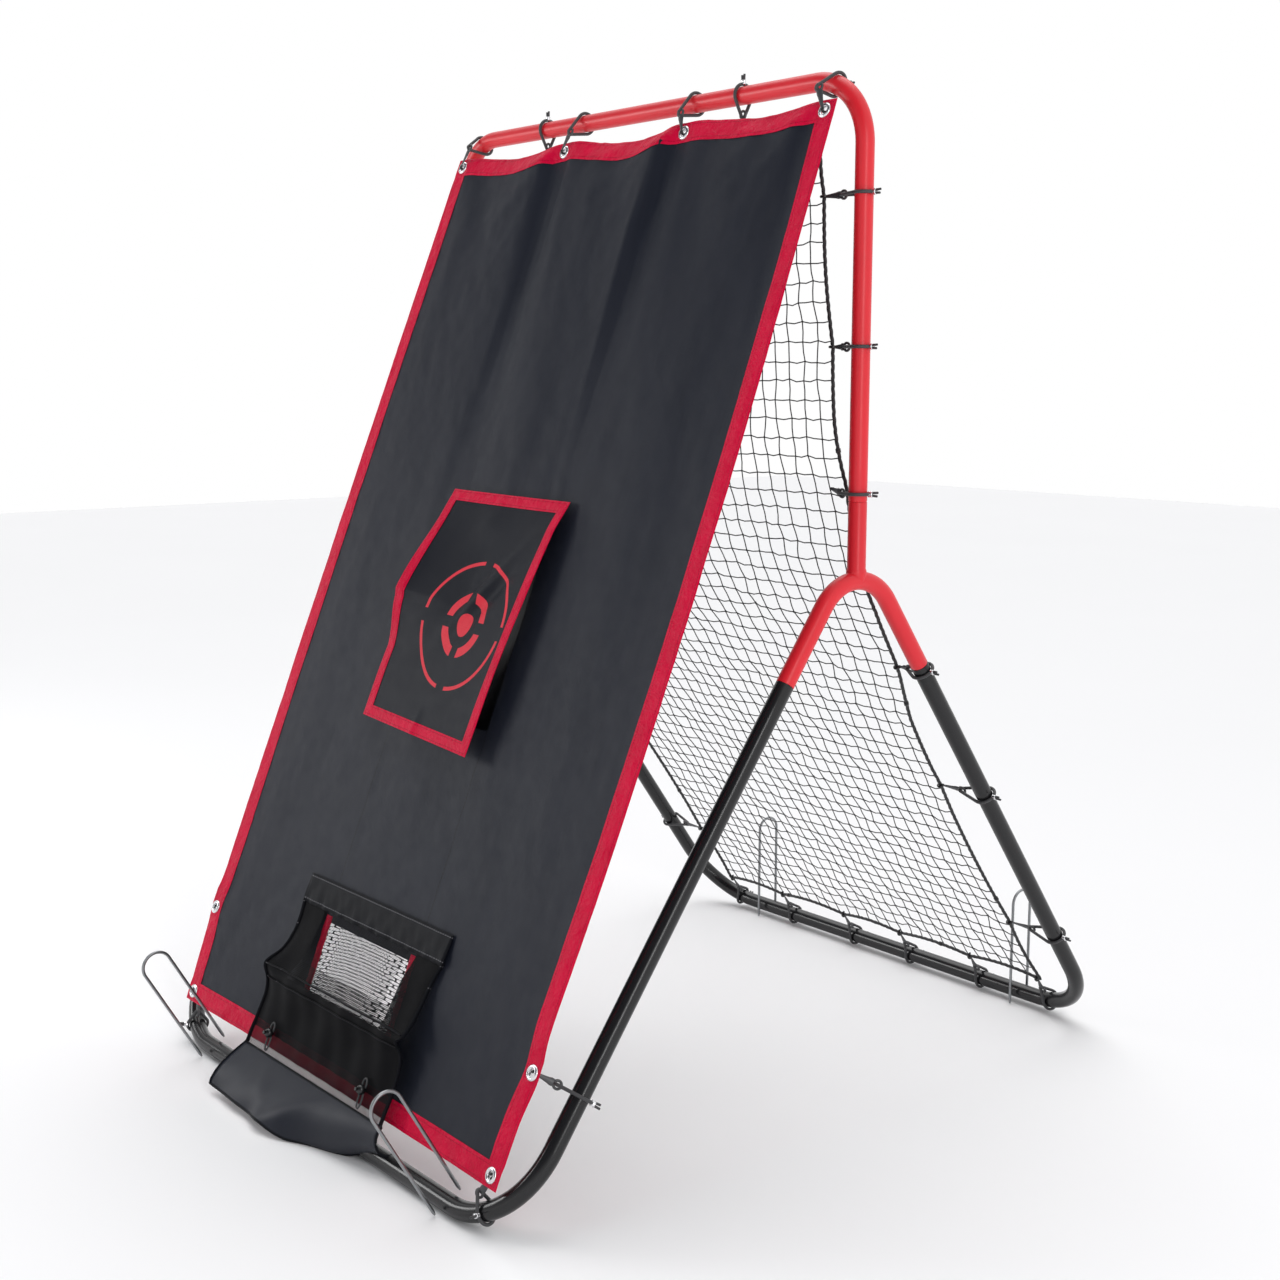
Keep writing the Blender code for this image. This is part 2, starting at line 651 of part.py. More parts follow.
def net_bungees():
    for k, x in enumerate((-0.29, 0.29)):
        edge = Vector((x, 0, NET_TOP_Z))
        net_bungee(f"bungee_net_top_{k + 1}", Vector((x, 0, TOP_Z)), X, edge, 0.5)
    for side, side_name in ((-1, "left"), (1, "right")):
        for k, (z, half) in enumerate(((1.622, 0.495), (1.371, 0.522))):
            edge = Vector((side * half, 0, z))
            centre = Vector((side * HALF_WIDTH, 0, z))
            net_bungee(f"bungee_post_{side_name}_{k + 1}", centre, Z, edge, 0.5)
        low = 1.125
        centre = Vector((side * HALF_WIDTH, 0, low))
        eye = Vector((side * 0.56, -0.01, low))
        tip = Vector((side * 0.531, -0.0065, low + 0.006))
        bungee(f"bungee_post_{side_name}_3", centre, Z, eye, tip)
        for k, (distance, half) in enumerate(((0.30, 0.5275), (0.615, 0.48), (1.01, 0.4745))):
            centre = leg_point(side, REAR_DOWN, distance)
            edge = centre - X * (side * (HALF_WIDTH - half))
            net_bungee(f"bungee_leg_{side_name}_{k + 1}", centre, REAR_DOWN, edge, 0.5)
    floor = hoop_corners(REAR_DOWN, HALF_DEPTH, REAR_RAIL_Z)
    bottom_row = net_rows()[-1][0]
    for k, x in enumerate((-REAR_TIE_X, -0.29, -0.087, 0.087, 0.29, REAR_TIE_X)):
        centre, axis = hoop_at(floor, FLOOR_BEND, x)
        edge = bottom_row + X * (x - math.copysign(0.006, x) * (abs(x) > 0.4))
        net_bungee(f"bungee_rear_rail_{k + 1}", centre, axis, edge, 0.46, perpendicular(Y, axis))


# Ground stakes


def ground_stake(name, x, rail_y, rail_z, lean, lift):
    """A wire stake over a floor rail; its origin is on the line that it is driven along."""
    up = Vector((0, -math.sin(lean), math.cos(lean)))
    across = X.cross(up)
    base = up * lift
    crown = STAKE_LENGTH + STAKE_HALF
    arch = [(-STAKE_HALF, 0), (-STAKE_HALF, crown), (STAKE_HALF, crown)]
    arch.append((STAKE_HALF, 0))
    corners = [base + across * a + up * b for a, b in arch]
    stations = rounded_path(corners, STAKE_HALF - 0.0001, 5)
    rings = [ring(p, d, X, STAKE_R, 6, 0) for p, d in stations]
    node(name, loft(name, rings), zinc_steel(), Vector((x, rail_y, rail_z)))


def ground_stakes():
    front_lift = (STAKE_HALF * math.sin(FRONT_STAKE_LEAN) + STAKE_R * math.sin(FRONT_STAKE_LEAN) - FRONT_RAIL_Z + GAP)
    front_lift /= math.cos(FRONT_STAKE_LEAN)
    for side, side_name in ((-1, "left"), (1, "right")):
        ground_stake(
            f"stake_front_{side_name}", side * FRONT_STAKE_X, -HALF_DEPTH, FRONT_RAIL_Z, FRONT_STAKE_LEAN, front_lift
        )
        ground_stake(f"stake_rear_{side_name}", side * REAR_STAKE_X, HALF_DEPTH, REAR_RAIL_Z, 0, GAP - REAR_RAIL_Z)


def main():
    clear_scene()
    assembly = as_object("assembly", None)
    assembly.location = (0, POST_LINE_Y, 0)
    top_hoop()
    fork(-1, "fork_left")
    fork(1, "fork_right")
    floor_hoop("front_floor_hoop", FRONT_DOWN, FRONT_RAIL_Z)
    floor_hoop("rear_floor_hoop", REAR_DOWN, REAR_RAIL_Z)
    for place in leg_button_places() + post_button_places():
        spring_button(*place)
    banner()
    for place in grommet_places():
        grommet(*place)
    strike_panel()
    ball_chute()
    return_pocket()
    return_flap()
    return_toggle("return_toggle_left", -0.166)
    return_toggle("return_toggle_right", 0.166)
    net()
    net_border_rope()
    banner_bungees()
    net_bungees()
    ground_stakes()


main()
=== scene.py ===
"""Looks of the pitching target net: smooth tubes, a hung banner, sewn pieces, a knotted net and its cords."""

import math

import bmesh
import bpy
import numpy as np
from mathutils import Matrix, Vector


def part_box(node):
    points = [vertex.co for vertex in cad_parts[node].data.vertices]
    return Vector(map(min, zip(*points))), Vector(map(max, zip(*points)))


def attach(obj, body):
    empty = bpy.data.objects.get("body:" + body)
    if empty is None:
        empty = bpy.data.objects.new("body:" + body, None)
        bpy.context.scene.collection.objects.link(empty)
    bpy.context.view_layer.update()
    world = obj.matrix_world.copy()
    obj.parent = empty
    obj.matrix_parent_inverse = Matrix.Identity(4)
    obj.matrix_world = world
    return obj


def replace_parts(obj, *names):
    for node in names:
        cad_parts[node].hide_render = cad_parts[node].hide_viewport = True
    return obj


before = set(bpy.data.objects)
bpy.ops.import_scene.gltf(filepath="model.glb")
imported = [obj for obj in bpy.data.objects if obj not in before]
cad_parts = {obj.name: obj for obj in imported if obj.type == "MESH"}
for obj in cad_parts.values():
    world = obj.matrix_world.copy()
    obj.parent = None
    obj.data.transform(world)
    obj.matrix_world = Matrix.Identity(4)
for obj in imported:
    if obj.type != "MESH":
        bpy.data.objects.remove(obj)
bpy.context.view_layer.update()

# Sizes of the frame, as in the part's own script
TUBE_R = 0.016
HALF_WIDTH = 0.587
HALF_DEPTH = 0.735
TOP_Z = 1.8105
LEGS_MEET_Z = 1.046
POST_JOINT_Z = 1.112
LEG_JOINT = 0.285
TOP_BEND = 0.11
FORK_BEND = 0.096
FLOOR_BEND = 0.15
SPIGOT_R = 0.0145
SPIGOT_LENGTH = 0.065
POST_LINE_Y = sum(corner[1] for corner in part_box("top_hoop")) / 2
BUTTON_UP = 0.035

CORD_R = 0.003
EYE_R = 0.0045
ROPE_R = 0.0035
GAP = 0.0003
WRAP_STEP = math.radians(25)
WRAP_R = (TUBE_R + CORD_R + GAP) / math.cos(WRAP_STEP / 2)
FRONT_RAIL_Z = TUBE_R * math.cos(math.pi / 12)
REAR_RAIL_Z = WRAP_R + CORD_R
TOP_TIE_X = HALF_WIDTH - TOP_BEND + TOP_BEND * math.sin(math.radians(22.5))
FRONT_TIE_X = HALF_WIDTH - FLOOR_BEND + FLOOR_BEND * math.sin(math.radians(30))
REAR_TIE_X = HALF_WIDTH - FLOOR_BEND + FLOOR_BEND * math.sin(math.radians(15))

# Sizes of the cloth pieces
BANNER_TOP = 0.05
BANNER_BOTTOM = 1.878
BANNER_STAND = 0.018
TOP_HALF, MIDDLE_HALF, BOTTOM_HALF = 0.555, 0.572, 0.545
SIDE_TIE = 1.69
GROMMET_R = 0.0135
GROMMET_BORE = 0.0068
TRIM = 0.038
STRIKE_HALF = 0.15
STRIKE_SPAN = (0.80, 1.20)
OUTLET_HALF = 0.14
OUTLET_SPAN = (1.62, 1.75)
PANEL_HALF = 0.186
PANEL_TOP = 0.757
PANEL_LENGTH = 0.478
PANEL_LEAN = math.radians(2.6)
PANEL_TWIST = math.radians(-0.6)  # it is sewn on a little askew
PANEL_SKEW = 0.032  # how far its free end hangs to the left of its seam
POCKET_HALF = 0.24
CHUTE_HALF = 0.157
FLAP_HALF = 0.245
FLAP_SEAM = (1.882, 0.048)
FLAP_LENGTH = 0.105
FLAP_SLOPE = math.radians(24)
NET_TOP_Z = 1.745
POCKET_LENGTH = 0.33
WINDOW_FOOT = 0.165

# Sizes of the stakes
STAKE_R = 0.003
STAKE_HALF = 0.028
STAKE_LENGTH = 0.216
FRONT_STAKE_X = 0.42
REAR_STAKE_X = 0.39
FRONT_STAKE_LEAN = math.radians(30)

# The camera, found from the frame's lines, counted from the post line
CAMERA_PLACE = (2.635, POST_LINE_Y - 2.1564, 1.3255)
CAMERA_YAW = math.radians(50.64)
CAMERA_PITCH = math.radians(-8.702)
CAMERA_ROLL = math.radians(0.117)
CAMERA_LENS = 48.94

X, Y, Z = Vector((1, 0, 0)), Vector((0, 1, 0)), Vector((0, 0, 1))
ORIGIN = Vector((0, POST_LINE_Y, 0))
FRONT_DOWN = Vector((0, -HALF_DEPTH, FRONT_RAIL_Z - LEGS_MEET_Z)).normalized()
REAR_DOWN = Vector((0, HALF_DEPTH, REAR_RAIL_Z - LEGS_MEET_Z)).normalized()
BANNER_DOWN = Vector((0, -HALF_DEPTH, FRONT_RAIL_Z - TOP_Z)).normalized()
BANNER_OUT = BANNER_DOWN.cross(X)

chance = np.random.default_rng(11)


# Node materials


class Shader:
    """A node material under construction; its helper methods give sockets or plain numbers to set()."""

    def __init__(self, name, colour, roughness, metallic=0.0):
        self.material = bpy.data.materials.new(name)
        self.material.use_nodes = True
        self.tree = self.material.node_tree
        self.surface = self.tree.nodes["Principled BSDF"]
        self.set("Base Color", (*colour, 1))
        self.set("Roughness", roughness)
        self.set("Metallic", metallic)

    def set(self, socket, value):
        place = self.surface.inputs[socket]
        if isinstance(value, bpy.types.NodeSocket):
            self.tree.links.new(value, place)
        else:
            place.default_value = value

    def node(self, kind, inputs=None, **settings):
        made = self.tree.nodes.new(kind)
        for key, value in settings.items():
            setattr(made, key, value)
        for key, value in (inputs or {}).items():
            if isinstance(value, bpy.types.NodeSocket):
                self.tree.links.new(value, made.inputs[key])
            else:
                made.inputs[key].default_value = value
        return made

    def math(self, operation, first, second=0.0, third=0.0):
        made = self.node("ShaderNodeMath", {0: first, 1: second, 2: third}, operation=operation)
        return made.outputs[0]

    def place(self):
        return self.node("ShaderNodeTexCoord").outputs["Object"]

    def across_along(self):
        """The two UV numbers, which every piece gives in metres."""
        split = self.node("ShaderNodeSeparateXYZ", {0: self.node("ShaderNodeTexCoord").outputs["UV"]})
        return split.outputs[0], split.outputs[1]

    def noise(self, scale, detail=2.0, vector=None, roughness=0.5):
        inputs = {"Vector": vector or self.place(), "Scale": scale, "Detail": detail, "Roughness": roughness}
        return self.node("ShaderNodeTexNoise", inputs).outputs["Fac"]

    def mix(self, share, low, high):
        """A colour between low and high by share."""
        ramp = self.node("ShaderNodeMix", {0: share}, data_type="RGBA")
        for socket, colour in ((6, low), (7, high)):
            if isinstance(colour, bpy.types.NodeSocket):
                self.tree.links.new(colour, ramp.inputs[socket])
            else:
                ramp.inputs[socket].default_value = (*colour, 1)
        return ramp.outputs[2]

    def spread(self, value, low, high):
        """A number from low to high as value goes from 0 to 1."""
        return self.math("MULTIPLY_ADD", value, high - low, low)

    def wave(self, value, period):
        """0 to 1 and back once each period."""
        turns = self.math("MULTIPLY", value, 2 * math.pi / period)
        return self.math("MULTIPLY_ADD", self.math("SINE", turns), 0.5, 0.5)

    def bump(self, height, strength, distance):
        made = self.node("ShaderNodeBump", {"Height": height, "Strength": strength, "Distance": distance})
        self.set("Normal", made.outputs[0])


def painted_tube(name, colour, roughness):
    """Powder coat: gloss over a fine orange peel, with a little dust."""
    s = Shader(name, colour, roughness)
    cloud = s.noise(9.0, 4.0)
    s.set("Base Color", s.mix(cloud, [c * 0.9 for c in colour], [min(1, c * 1.08) for c in colour]))
    s.set("Roughness", s.spread(s.noise(60.0, 3.0), roughness - 0.05, roughness + 0.08))
    s.set("Specular IOR Level", 0.4)
    s.bump(s.noise(900.0, 2.0), 0.12, 0.0004)
    return s.material


def satin_cloth(name, dark, light, roughness=0.5, gloss=0.18):
    """Coated oxford polyester: a fine plain weave with faint slubs and a soft sheen."""
    s = Shader(name, dark, roughness)
    across, along = s.across_along()
    warp, weft = s.wave(across, 0.0011), s.wave(along, 0.0011)
    weave = s.math("MULTIPLY", warp, weft)
    drawn_out = s.node("ShaderNodeCombineXYZ", {0: across, 1: s.math("MULTIPLY", along, 0.04)}).outputs[0]
    streaks = s.noise(160.0, 3.0, drawn_out)
    tone = s.math("MULTIPLY_ADD", streaks, 0.6, s.math("MULTIPLY", s.noise(7.0, 3.0), 0.4))
    s.set("Base Color", s.mix(tone, dark, light))
    s.set("Roughness", s.spread(s.noise(40.0, 3.0), roughness - 0.06, roughness + 0.08))
    s.set("Specular IOR Level", gloss)
    s.bump(s.math("MULTIPLY_ADD", streaks, 0.35, weave), 0.35, 0.0003)
    return s


def stitch_mask(s, value, lines, along, length=0.0045, half=0.0006):
    """1 on dashes that run along, at each place in lines across value."""
    found = 0.0
    dash = s.math("LESS_THAN", s.math("FRACT", s.math("DIVIDE", along, length)), 0.62)
    for line in lines:
        near = s.math("LESS_THAN", s.math("ABSOLUTE", s.math("SUBTRACT", value, line)), half)
        found = s.math("MAXIMUM", found, near)
    return s.math("MULTIPLY", found, dash)


def banner_cloth():
    """The banner's cloth, with the two rows of stitches that hold the chute behind it."""
    s = satin_cloth("banner_cloth", (0.0078, 0.0094, 0.0160), (0.0138, 0.0166, 0.0280), 0.48)
    across, along = s.across_along()
    seam = stitch_mask(s, s.math("ABSOLUTE", across), [CHUTE_HALF - 0.006], along, 0.008, 0.0013)
    reach = s.math("MULTIPLY", s.math("GREATER_THAN", along, 0.77), s.math("LESS_THAN", along, 1.57))
    mask = s.math("MULTIPLY", seam, reach)
    base = s.surface.inputs["Base Color"].links[0].from_socket
    s.set("Base Color", s.mix(mask, base, (0.004, 0.004, 0.005)))
    return s.material


def plain_cloth(name):
    return satin_cloth(name, (0.0080, 0.0096, 0.0160), (0.0140, 0.0168, 0.0280), 0.36, 0.24).material


def collar_cloth():
    """Black webbing with dashed stitches along both edges."""
    s = satin_cloth("collar_cloth", (0.004, 0.0045, 0.0065), (0.008, 0.0085, 0.0115), 0.5, 0.10)
    across, along = s.across_along()
    mask = stitch_mask(s, along, [0.005, 0.048], across, 0.007, 0.0009)
    base = s.surface.inputs["Base Color"].links[0].from_socket
    s.set("Base Color", s.mix(mask, base, (0.12, 0.12, 0.13)))
    return s.material


def red_trim(name="red_trim", rows=(0.005, 0.032)):
    """Crimson coated trim: glossy, creased, with two rows of stitches."""
    s = Shader(name, (0.50, 0.003, 0.030), 0.4)
    across, along = s.across_along()
    cloud = s.noise(24.0, 4.0)
    base = s.mix(cloud, (0.52, 0.0003, 0.030), (0.76, 0.0012, 0.052))
    mask = stitch_mask(s, along, rows, across, 0.0045, 0.0005)
    s.set("Base Color", s.mix(mask, base, (0.34, 0.001, 0.024)))
    s.set("Roughness", s.spread(s.noise(50.0, 4.0), 0.32, 0.5))
    s.set("Specular IOR Level", 0.10)
    crease = s.math("MULTIPLY_ADD", s.noise(34.0, 4.0, roughness=0.6), 1.0, s.math("MULTIPLY", mask, -0.25))
    weave = s.math("MULTIPLY", s.wave(across, 0.0012), s.wave(along, 0.0012))
    s.bump(s.math("MULTIPLY_ADD", weave, 0.02, crease), 0.9, 0.0075)
    return s.material


def target_cloth():
    """The flap's cloth, with a printed target of broken rings round a dot."""
    s = satin_cloth("target_cloth", (0.0055, 0.0064, 0.0105), (0.0098, 0.0114, 0.0185), 0.44, 0.12)
    across, along = s.across_along()
    down = s.math("SUBTRACT", along, 0.258)
    across = s.math("SUBTRACT", across, 0.030)
    away = s.math("SQRT", s.math("ADD", s.math("POWER", across, 2.0), s.math("POWER", down, 2.0)))
    nearest_axis = s.math("MINIMUM", s.math("ABSOLUTE", across), s.math("ABSOLUTE", down))
    arcs = 0.0
    for radius, half, gap in ((0.122, 0.0036, 0.013), (0.054, 0.0092, 0.011)):
        band = s.math("LESS_THAN", s.math("ABSOLUTE", s.math("SUBTRACT", away, radius)), half)
        open_part = s.math("GREATER_THAN", nearest_axis, gap)
        arcs = s.math("MAXIMUM", arcs, s.math("MULTIPLY", band, open_part))
    printed = s.math("MAXIMUM", arcs, s.math("LESS_THAN", away, 0.0225))
    base = s.surface.inputs["Base Color"].links[0].from_socket
    ink = s.mix(s.noise(300.0, 2.0), (0.66, 0.030, 0.050), (0.76, 0.045, 0.070))
    s.set("Base Color", s.mix(printed, base, ink))
    return s.material


def open_mesh(name, pitch, share_of):
    """Knitted mesh: threads round small staggered holes. share_of(shader) gives the threads' share of the pitch."""
    s = Shader(name, (0.004, 0.004, 0.005), 0.6)
    across, along = s.across_along()
    wobble = s.math("MULTIPLY_ADD", s.noise(60.0, 2.0), pitch * 0.5, -pitch * 0.25)
    row = s.math("FLOOR", s.math("DIVIDE", s.math("ADD", along, wobble), pitch))
    offset = s.math("MULTIPLY", s.math("MODULO", row, 2.0), pitch / 2)
    reach = s.math("MULTIPLY_ADD", share_of(s), -0.5, 0.5)
    around = 0.0
    for value in (s.math("ADD", s.math("ADD", across, wobble), offset), s.math("ADD", along, wobble)):
        from_middle = s.math("ABSOLUTE", s.math("SUBTRACT", s.math("FRACT", s.math("DIVIDE", value, pitch)), 0.5))
        around = s.math("ADD", around, s.math("POWER", s.math("DIVIDE", from_middle, reach), 3.0))
    s.set("Alpha", s.math("GREATER_THAN", around, 1.0))
    s.set("Base Color", s.mix(s.noise(200.0), (0.002, 0.002, 0.003), (0.004, 0.004, 0.005)))
    s.set("Specular IOR Level", 0.06)
    s.bump(s.noise(1500.0), 0.3, 0.0003)
    return s.material


def even_share(s):
    return 0.12


def front_share(s):
    """The ball return's front is lined, but for its window and its foot; red trim shows beside the window."""
    across, along = s.across_along()
    side = s.math("ABSOLUTE", across)
    above_foot = s.math("LESS_THAN", along, WINDOW_FOOT)
    window = s.math("MULTIPLY", s.math("LESS_THAN", side, OUTLET_HALF + 0.02), above_foot)
    doubled = s.math("MULTIPLY", window, s.math("GREATER_THAN", along, WINDOW_FOOT - 0.042))
    trimmed = s.math("MULTIPLY", window, s.math("GREATER_THAN", side, OUTLET_HALF - 0.006))
    strip = s.math("GREATER_THAN", along, POCKET_LENGTH * 0.87)
    foot = s.math("GREATER_THAN", along, POCKET_LENGTH * 0.955)
    share = 0.80
    for part, change in ((window, -0.58), (doubled, 0.24), (trimmed, -0.14), (strip, -0.38), (foot, -0.10)):
        share = s.math("MULTIPLY_ADD", part, change, share)
    return share


def twine():
    """Tarred twine for net and rope: near black, with strands that wind round it."""
    s = Shader("twine", (0.008, 0.008, 0.009), 0.62)
    across, along = s.across_along()
    wound = s.wave(s.math("ADD", across, along), 0.0035)
    s.set("Base Color", s.mix(wound, (0.005, 0.005, 0.006), (0.020, 0.020, 0.022)))
    s.set("Sheen Weight", 0.2)
    s.bump(wound, 0.5, 0.0004)
    return s.material


def elastic_cord():
    """Braided elastic: two sets of strands that cross as they wind round the cord."""
    s = Shader("elastic_cord", (0.05, 0.05, 0.055), 0.55)
    across, along = s.across_along()
    left = s.wave(s.math("ADD", across, along), 0.0026)
    right = s.wave(s.math("SUBTRACT", across, along), 0.0026)
    braid = s.math("MAXIMUM", left, right)
    s.set("Base Color", s.mix(braid, (0.012, 0.012, 0.013), (0.060, 0.060, 0.064)))
    s.bump(braid, 0.6, 0.0005)
    return s.material


def moulded_plastic(name, colour, roughness):
    s = Shader(name, colour, roughness)
    s.set("Base Color", s.mix(s.noise(70.0), [c * 0.85 for c in colour], [c * 1.15 for c in colour]))
    s.set("Roughness", s.spread(s.noise(220.0), roughness - 0.05, roughness + 0.07))
    s.bump(s.noise(1100.0), 0.12, 0.0003)
    return s.material


def plated_metal(name, colour, roughness, scratch):
    """Bare or plated metal with fine scratches and slightly uneven gloss."""
    s = Shader(name, colour, roughness, 1.0)
    cloud = s.noise(45.0, 4.0)
    s.set("Base Color", s.mix(cloud, [c * 0.78 for c in colour], [min(1, c * 1.1) for c in colour]))
    s.set("Roughness", s.spread(s.noise(130.0, 4.0), roughness - 0.06, roughness + 0.12))
    s.bump(s.noise(700.0, 3.0), scratch, 0.0003)
    return s.material


def make_finishes():
    return {
        "red": painted_tube("red_powder_coat", (0.72, 0.018, 0.030), 0.34),
        "black": painted_tube("black_powder_coat", (0.011, 0.011, 0.012), 0.19),
        "banner": banner_cloth(),
        "target": target_cloth(),
        "plain": plain_cloth("plain_cloth"),
        "collar": collar_cloth(),
        "trim": red_trim(),
        "panel_trim": red_trim("panel_trim", (0.004, 0.019)),
        "fine_mesh": open_mesh("fine_black_mesh", 0.0029, front_share),
        "wide_mesh": open_mesh("wide_black_mesh", 0.0061, even_share),
        "twine": twine(),
        "cord": elastic_cord(),
        "hook": moulded_plastic("hook_plastic", (0.055, 0.056, 0.060), 0.36),
        "black_plastic": moulded_plastic("toggle_plastic", (0.008, 0.008, 0.009), 0.25),
        "steel": plated_metal("polished_steel", (0.78, 0.78, 0.80), 0.22, 0.05),
        "zinc": plated_metal("zinc_wire", (0.30, 0.31, 0.32), 0.34, 0.15),
        # hole_shadow: painted shade, the near-black colour of the rings in the spring button holes
        "dark": moulded_plastic("hole_shadow", (0.004, 0.004, 0.004), 0.9),
    }


# Mesh building


class Piece:
    """Points, faces and UVs gathered from several shapes, then made into one object."""

    def __init__(self):
        self.points, self.faces, self.uvs, self.slots = [], [], [], []

    def add(self, points, faces, uvs, slot=0):
        start = len(self.points)
        self.points += [tuple(p) for p in points]
        self.faces += [tuple(start + k for k in face) for face in faces]
        self.uvs += uvs
        self.slots += [slot] * len(faces)

    def make(self, name, finishes, body="frame", sharp=60):
        mesh = bpy.data.meshes.new(name)
        mesh.from_pydata(self.points, [], self.faces)
        layer = mesh.uv_layers.new(name="metres")
        layer.data.foreach_set("uv", [number for face in self.uvs for corner in face for number in corner])
        mesh.polygons.foreach_set("material_index", self.slots)
        for finish in finishes:
            mesh.materials.append(FINISH[finish])
        mesh.shade_smooth()
        mesh.set_sharp_from_angle(angle=math.radians(sharp))
        made = bpy.data.objects.new(name, mesh)
        bpy.context.scene.collection.objects.link(made)
        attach(made, body)
        return made


def side_vectors(points, closed, normal=None):
    """Each point's direction along the path, and a vector across it that turns as little as possible."""
    points = np.asarray(points, float)
    if closed:
        along = np.roll(points, -1, 0) - np.roll(points, 1, 0)
    else:
        along = np.gradient(points, axis=0)
    along /= np.linalg.norm(along, axis=1)[:, None]
    if normal is not None:
        side = np.asarray(normal, float) - along * (along @ np.asarray(normal, float))[:, None]
        return along, side / np.linalg.norm(side, axis=1)[:, None]
    first = np.cross(along[0], [0.31, 0.87, 0.38])
    sides = [first / np.linalg.norm(first)]
    for direction in along[1:]:
        side = sides[-1] - direction * (sides[-1] @ direction)
        sides.append(side / np.linalg.norm(side))
    sides = np.array(sides)
    if closed:
        home = sides[-1] - along[0] * (sides[-1] @ along[0])
        home /= np.linalg.norm(home)
        twist = math.atan2(np.cross(home, sides[0]) @ along[0], home @ sides[0])
        turns = twist * np.arange(len(points)) / len(points)
        across = np.cross(along, sides)
        sides = sides * np.cos(turns)[:, None] + across * np.sin(turns)[:, None]
    return along, sides


def sweep(piece, path, radius, sides=12, closed=False, normal=None, slot=0, caps=True, oval=1.0, shape=None):
    """A round section drawn along path. radius is a number or one for each point; shape scales it by angle and length."""
    path = np.asarray([tuple(p) for p in path], float)
    along, side = side_vectors(path, closed, normal)
    other = np.cross(along, side)
    radius = np.broadcast_to(np.asarray(radius, float), (len(path),))
    steps = np.linalg.norm(np.diff(path, axis=0), axis=1)
    length = np.concatenate([[0], np.cumsum(steps)])
    angles = 2 * np.pi * np.arange(sides) / sides
    reach = radius[:, None] * (np.ones(sides)[None, :] if shape is None else shape(angles[None, :], length[:, None]))
    rings = path[:, None, :] + side[:, None, :] * (reach * np.cos(angles))[:, :, None]
    rings += other[:, None, :] * (oval * reach * np.sin(angles))[:, :, None]
    count = len(path)
    total = length[-1] + (np.linalg.norm(path[0] - path[-1]) if closed else 0)
    around = 2 * math.pi * float(radius.mean())
    faces, uvs = [], []
    for j in range(count if closed else count - 1):
        k = (j + 1) % count
        v0, v1 = length[j], (total if k == 0 else length[k])
        for i in range(sides):
            n = (i + 1) % sides
            u0, u1 = around * i / sides, around * (i + 1) / sides
            faces.append((j * sides + i, j * sides + n, k * sides + n, k * sides + i))
            uvs.append(((u0, v0), (u1, v0), (u1, v1), (u0, v1)))
    if not closed and caps:
        for ring_start, order in ((0, -1), ((count - 1) * sides, 1)):
            faces.append(tuple(range(ring_start, ring_start + sides))[::order])
            uvs.append(((0.0, 0.0),) * sides)
    piece.add(rings.reshape(-1, 3), faces, uvs, slot)


def turned(piece, base, axis, profile, sides=20, slot=0, closed=False, caps=True):
    """A shape turned about an axis; profile lists (height, radius)."""
    axis = Vector(axis).normalized()
    first = axis.orthogonal().normalized()
    second = axis.cross(first)
    base = Vector(base)
    points, faces, uvs = [], [], []
    for height, radius in profile:
        for i in range(sides):
            angle = 2 * math.pi * i / sides
            points.append(base + axis * height + (first * math.cos(angle) + second * math.sin(angle)) * radius)
    rows = len(profile)
    for j in range(rows if closed else rows - 1):
        k = (j + 1) % rows
        for i in range(sides):
            n = (i + 1) % sides
            faces.append((j * sides + i, j * sides + n, k * sides + n, k * sides + i))
            u0, u1 = 0.03 * i / sides, 0.03 * (i + 1) / sides
            uvs.append(((u0, 0.004 * j), (u1, 0.004 * j), (u1, 0.004 * j + 0.004), (u0, 0.004 * j + 0.004)))
    if not closed and caps:
        for start, order in ((0, -1), ((rows - 1) * sides, 1)):
            faces.append(tuple(range(start, start + sides))[::order])
            uvs.append(((0.0, 0.0),) * sides)
    piece.add(points, faces, uvs, slot)


def lattice(piece, rows, uv_rows, slot=0, keep=None):
    """A surface through rows of points; keep(row, column) says which cells stay."""
    points = [point for row in rows for point in row]
    wide = len(rows[0])
    faces, uvs = [], []
    for j in range(len(rows) - 1):
        for i in range(wide - 1):
            if keep and not keep(j, i):
                continue
            corners = ((j, i), (j, i + 1), (j + 1, i + 1), (j + 1, i))
            faces.append(tuple(a * wide + b for a, b in corners))
            uvs.append(tuple(tuple(uv_rows[a][b]) for a, b in corners))
    piece.add(points, faces, uvs, slot)


def rounded_path(corners, bend, steps):
    """Points along straight runs that arcs of radius bend join."""
    points = [corners[0]]
    for before, corner, after in zip(corners, corners[1:], corners[2:]):
        into, out = (corner - before).normalized(), (after - corner).normalized()
        turn, axis = into.angle(out), into.cross(out).normalized()
        start = corner - into * (bend * math.tan(turn / 2))
        centre = start + axis.cross(into) * bend
        for step in range(steps + 1):
            points.append(centre + Matrix.Rotation(turn * step / steps, 3, axis) @ (start - centre))
    points.append(corners[-1])
    return points


def filled(points, spacing):
    """The path with extra points, so that none is further than spacing from the next."""
    out = [points[0]]
    for one, two in zip(points, points[1:]):
        parts = max(1, math.ceil((two - one).length / spacing))
        out += [one.lerp(two, k / parts) for k in range(1, parts + 1)]
    return out


def leg_point(side, down, distance):
    return ORIGIN + Vector((side * HALF_WIDTH, 0, LEGS_MEET_Z)) + down * distance


def on_banner(x, down, stand):
    return ORIGIN + Z * TOP_Z + X * x + BANNER_DOWN * down + BANNER_OUT * stand


# The frame's tubes


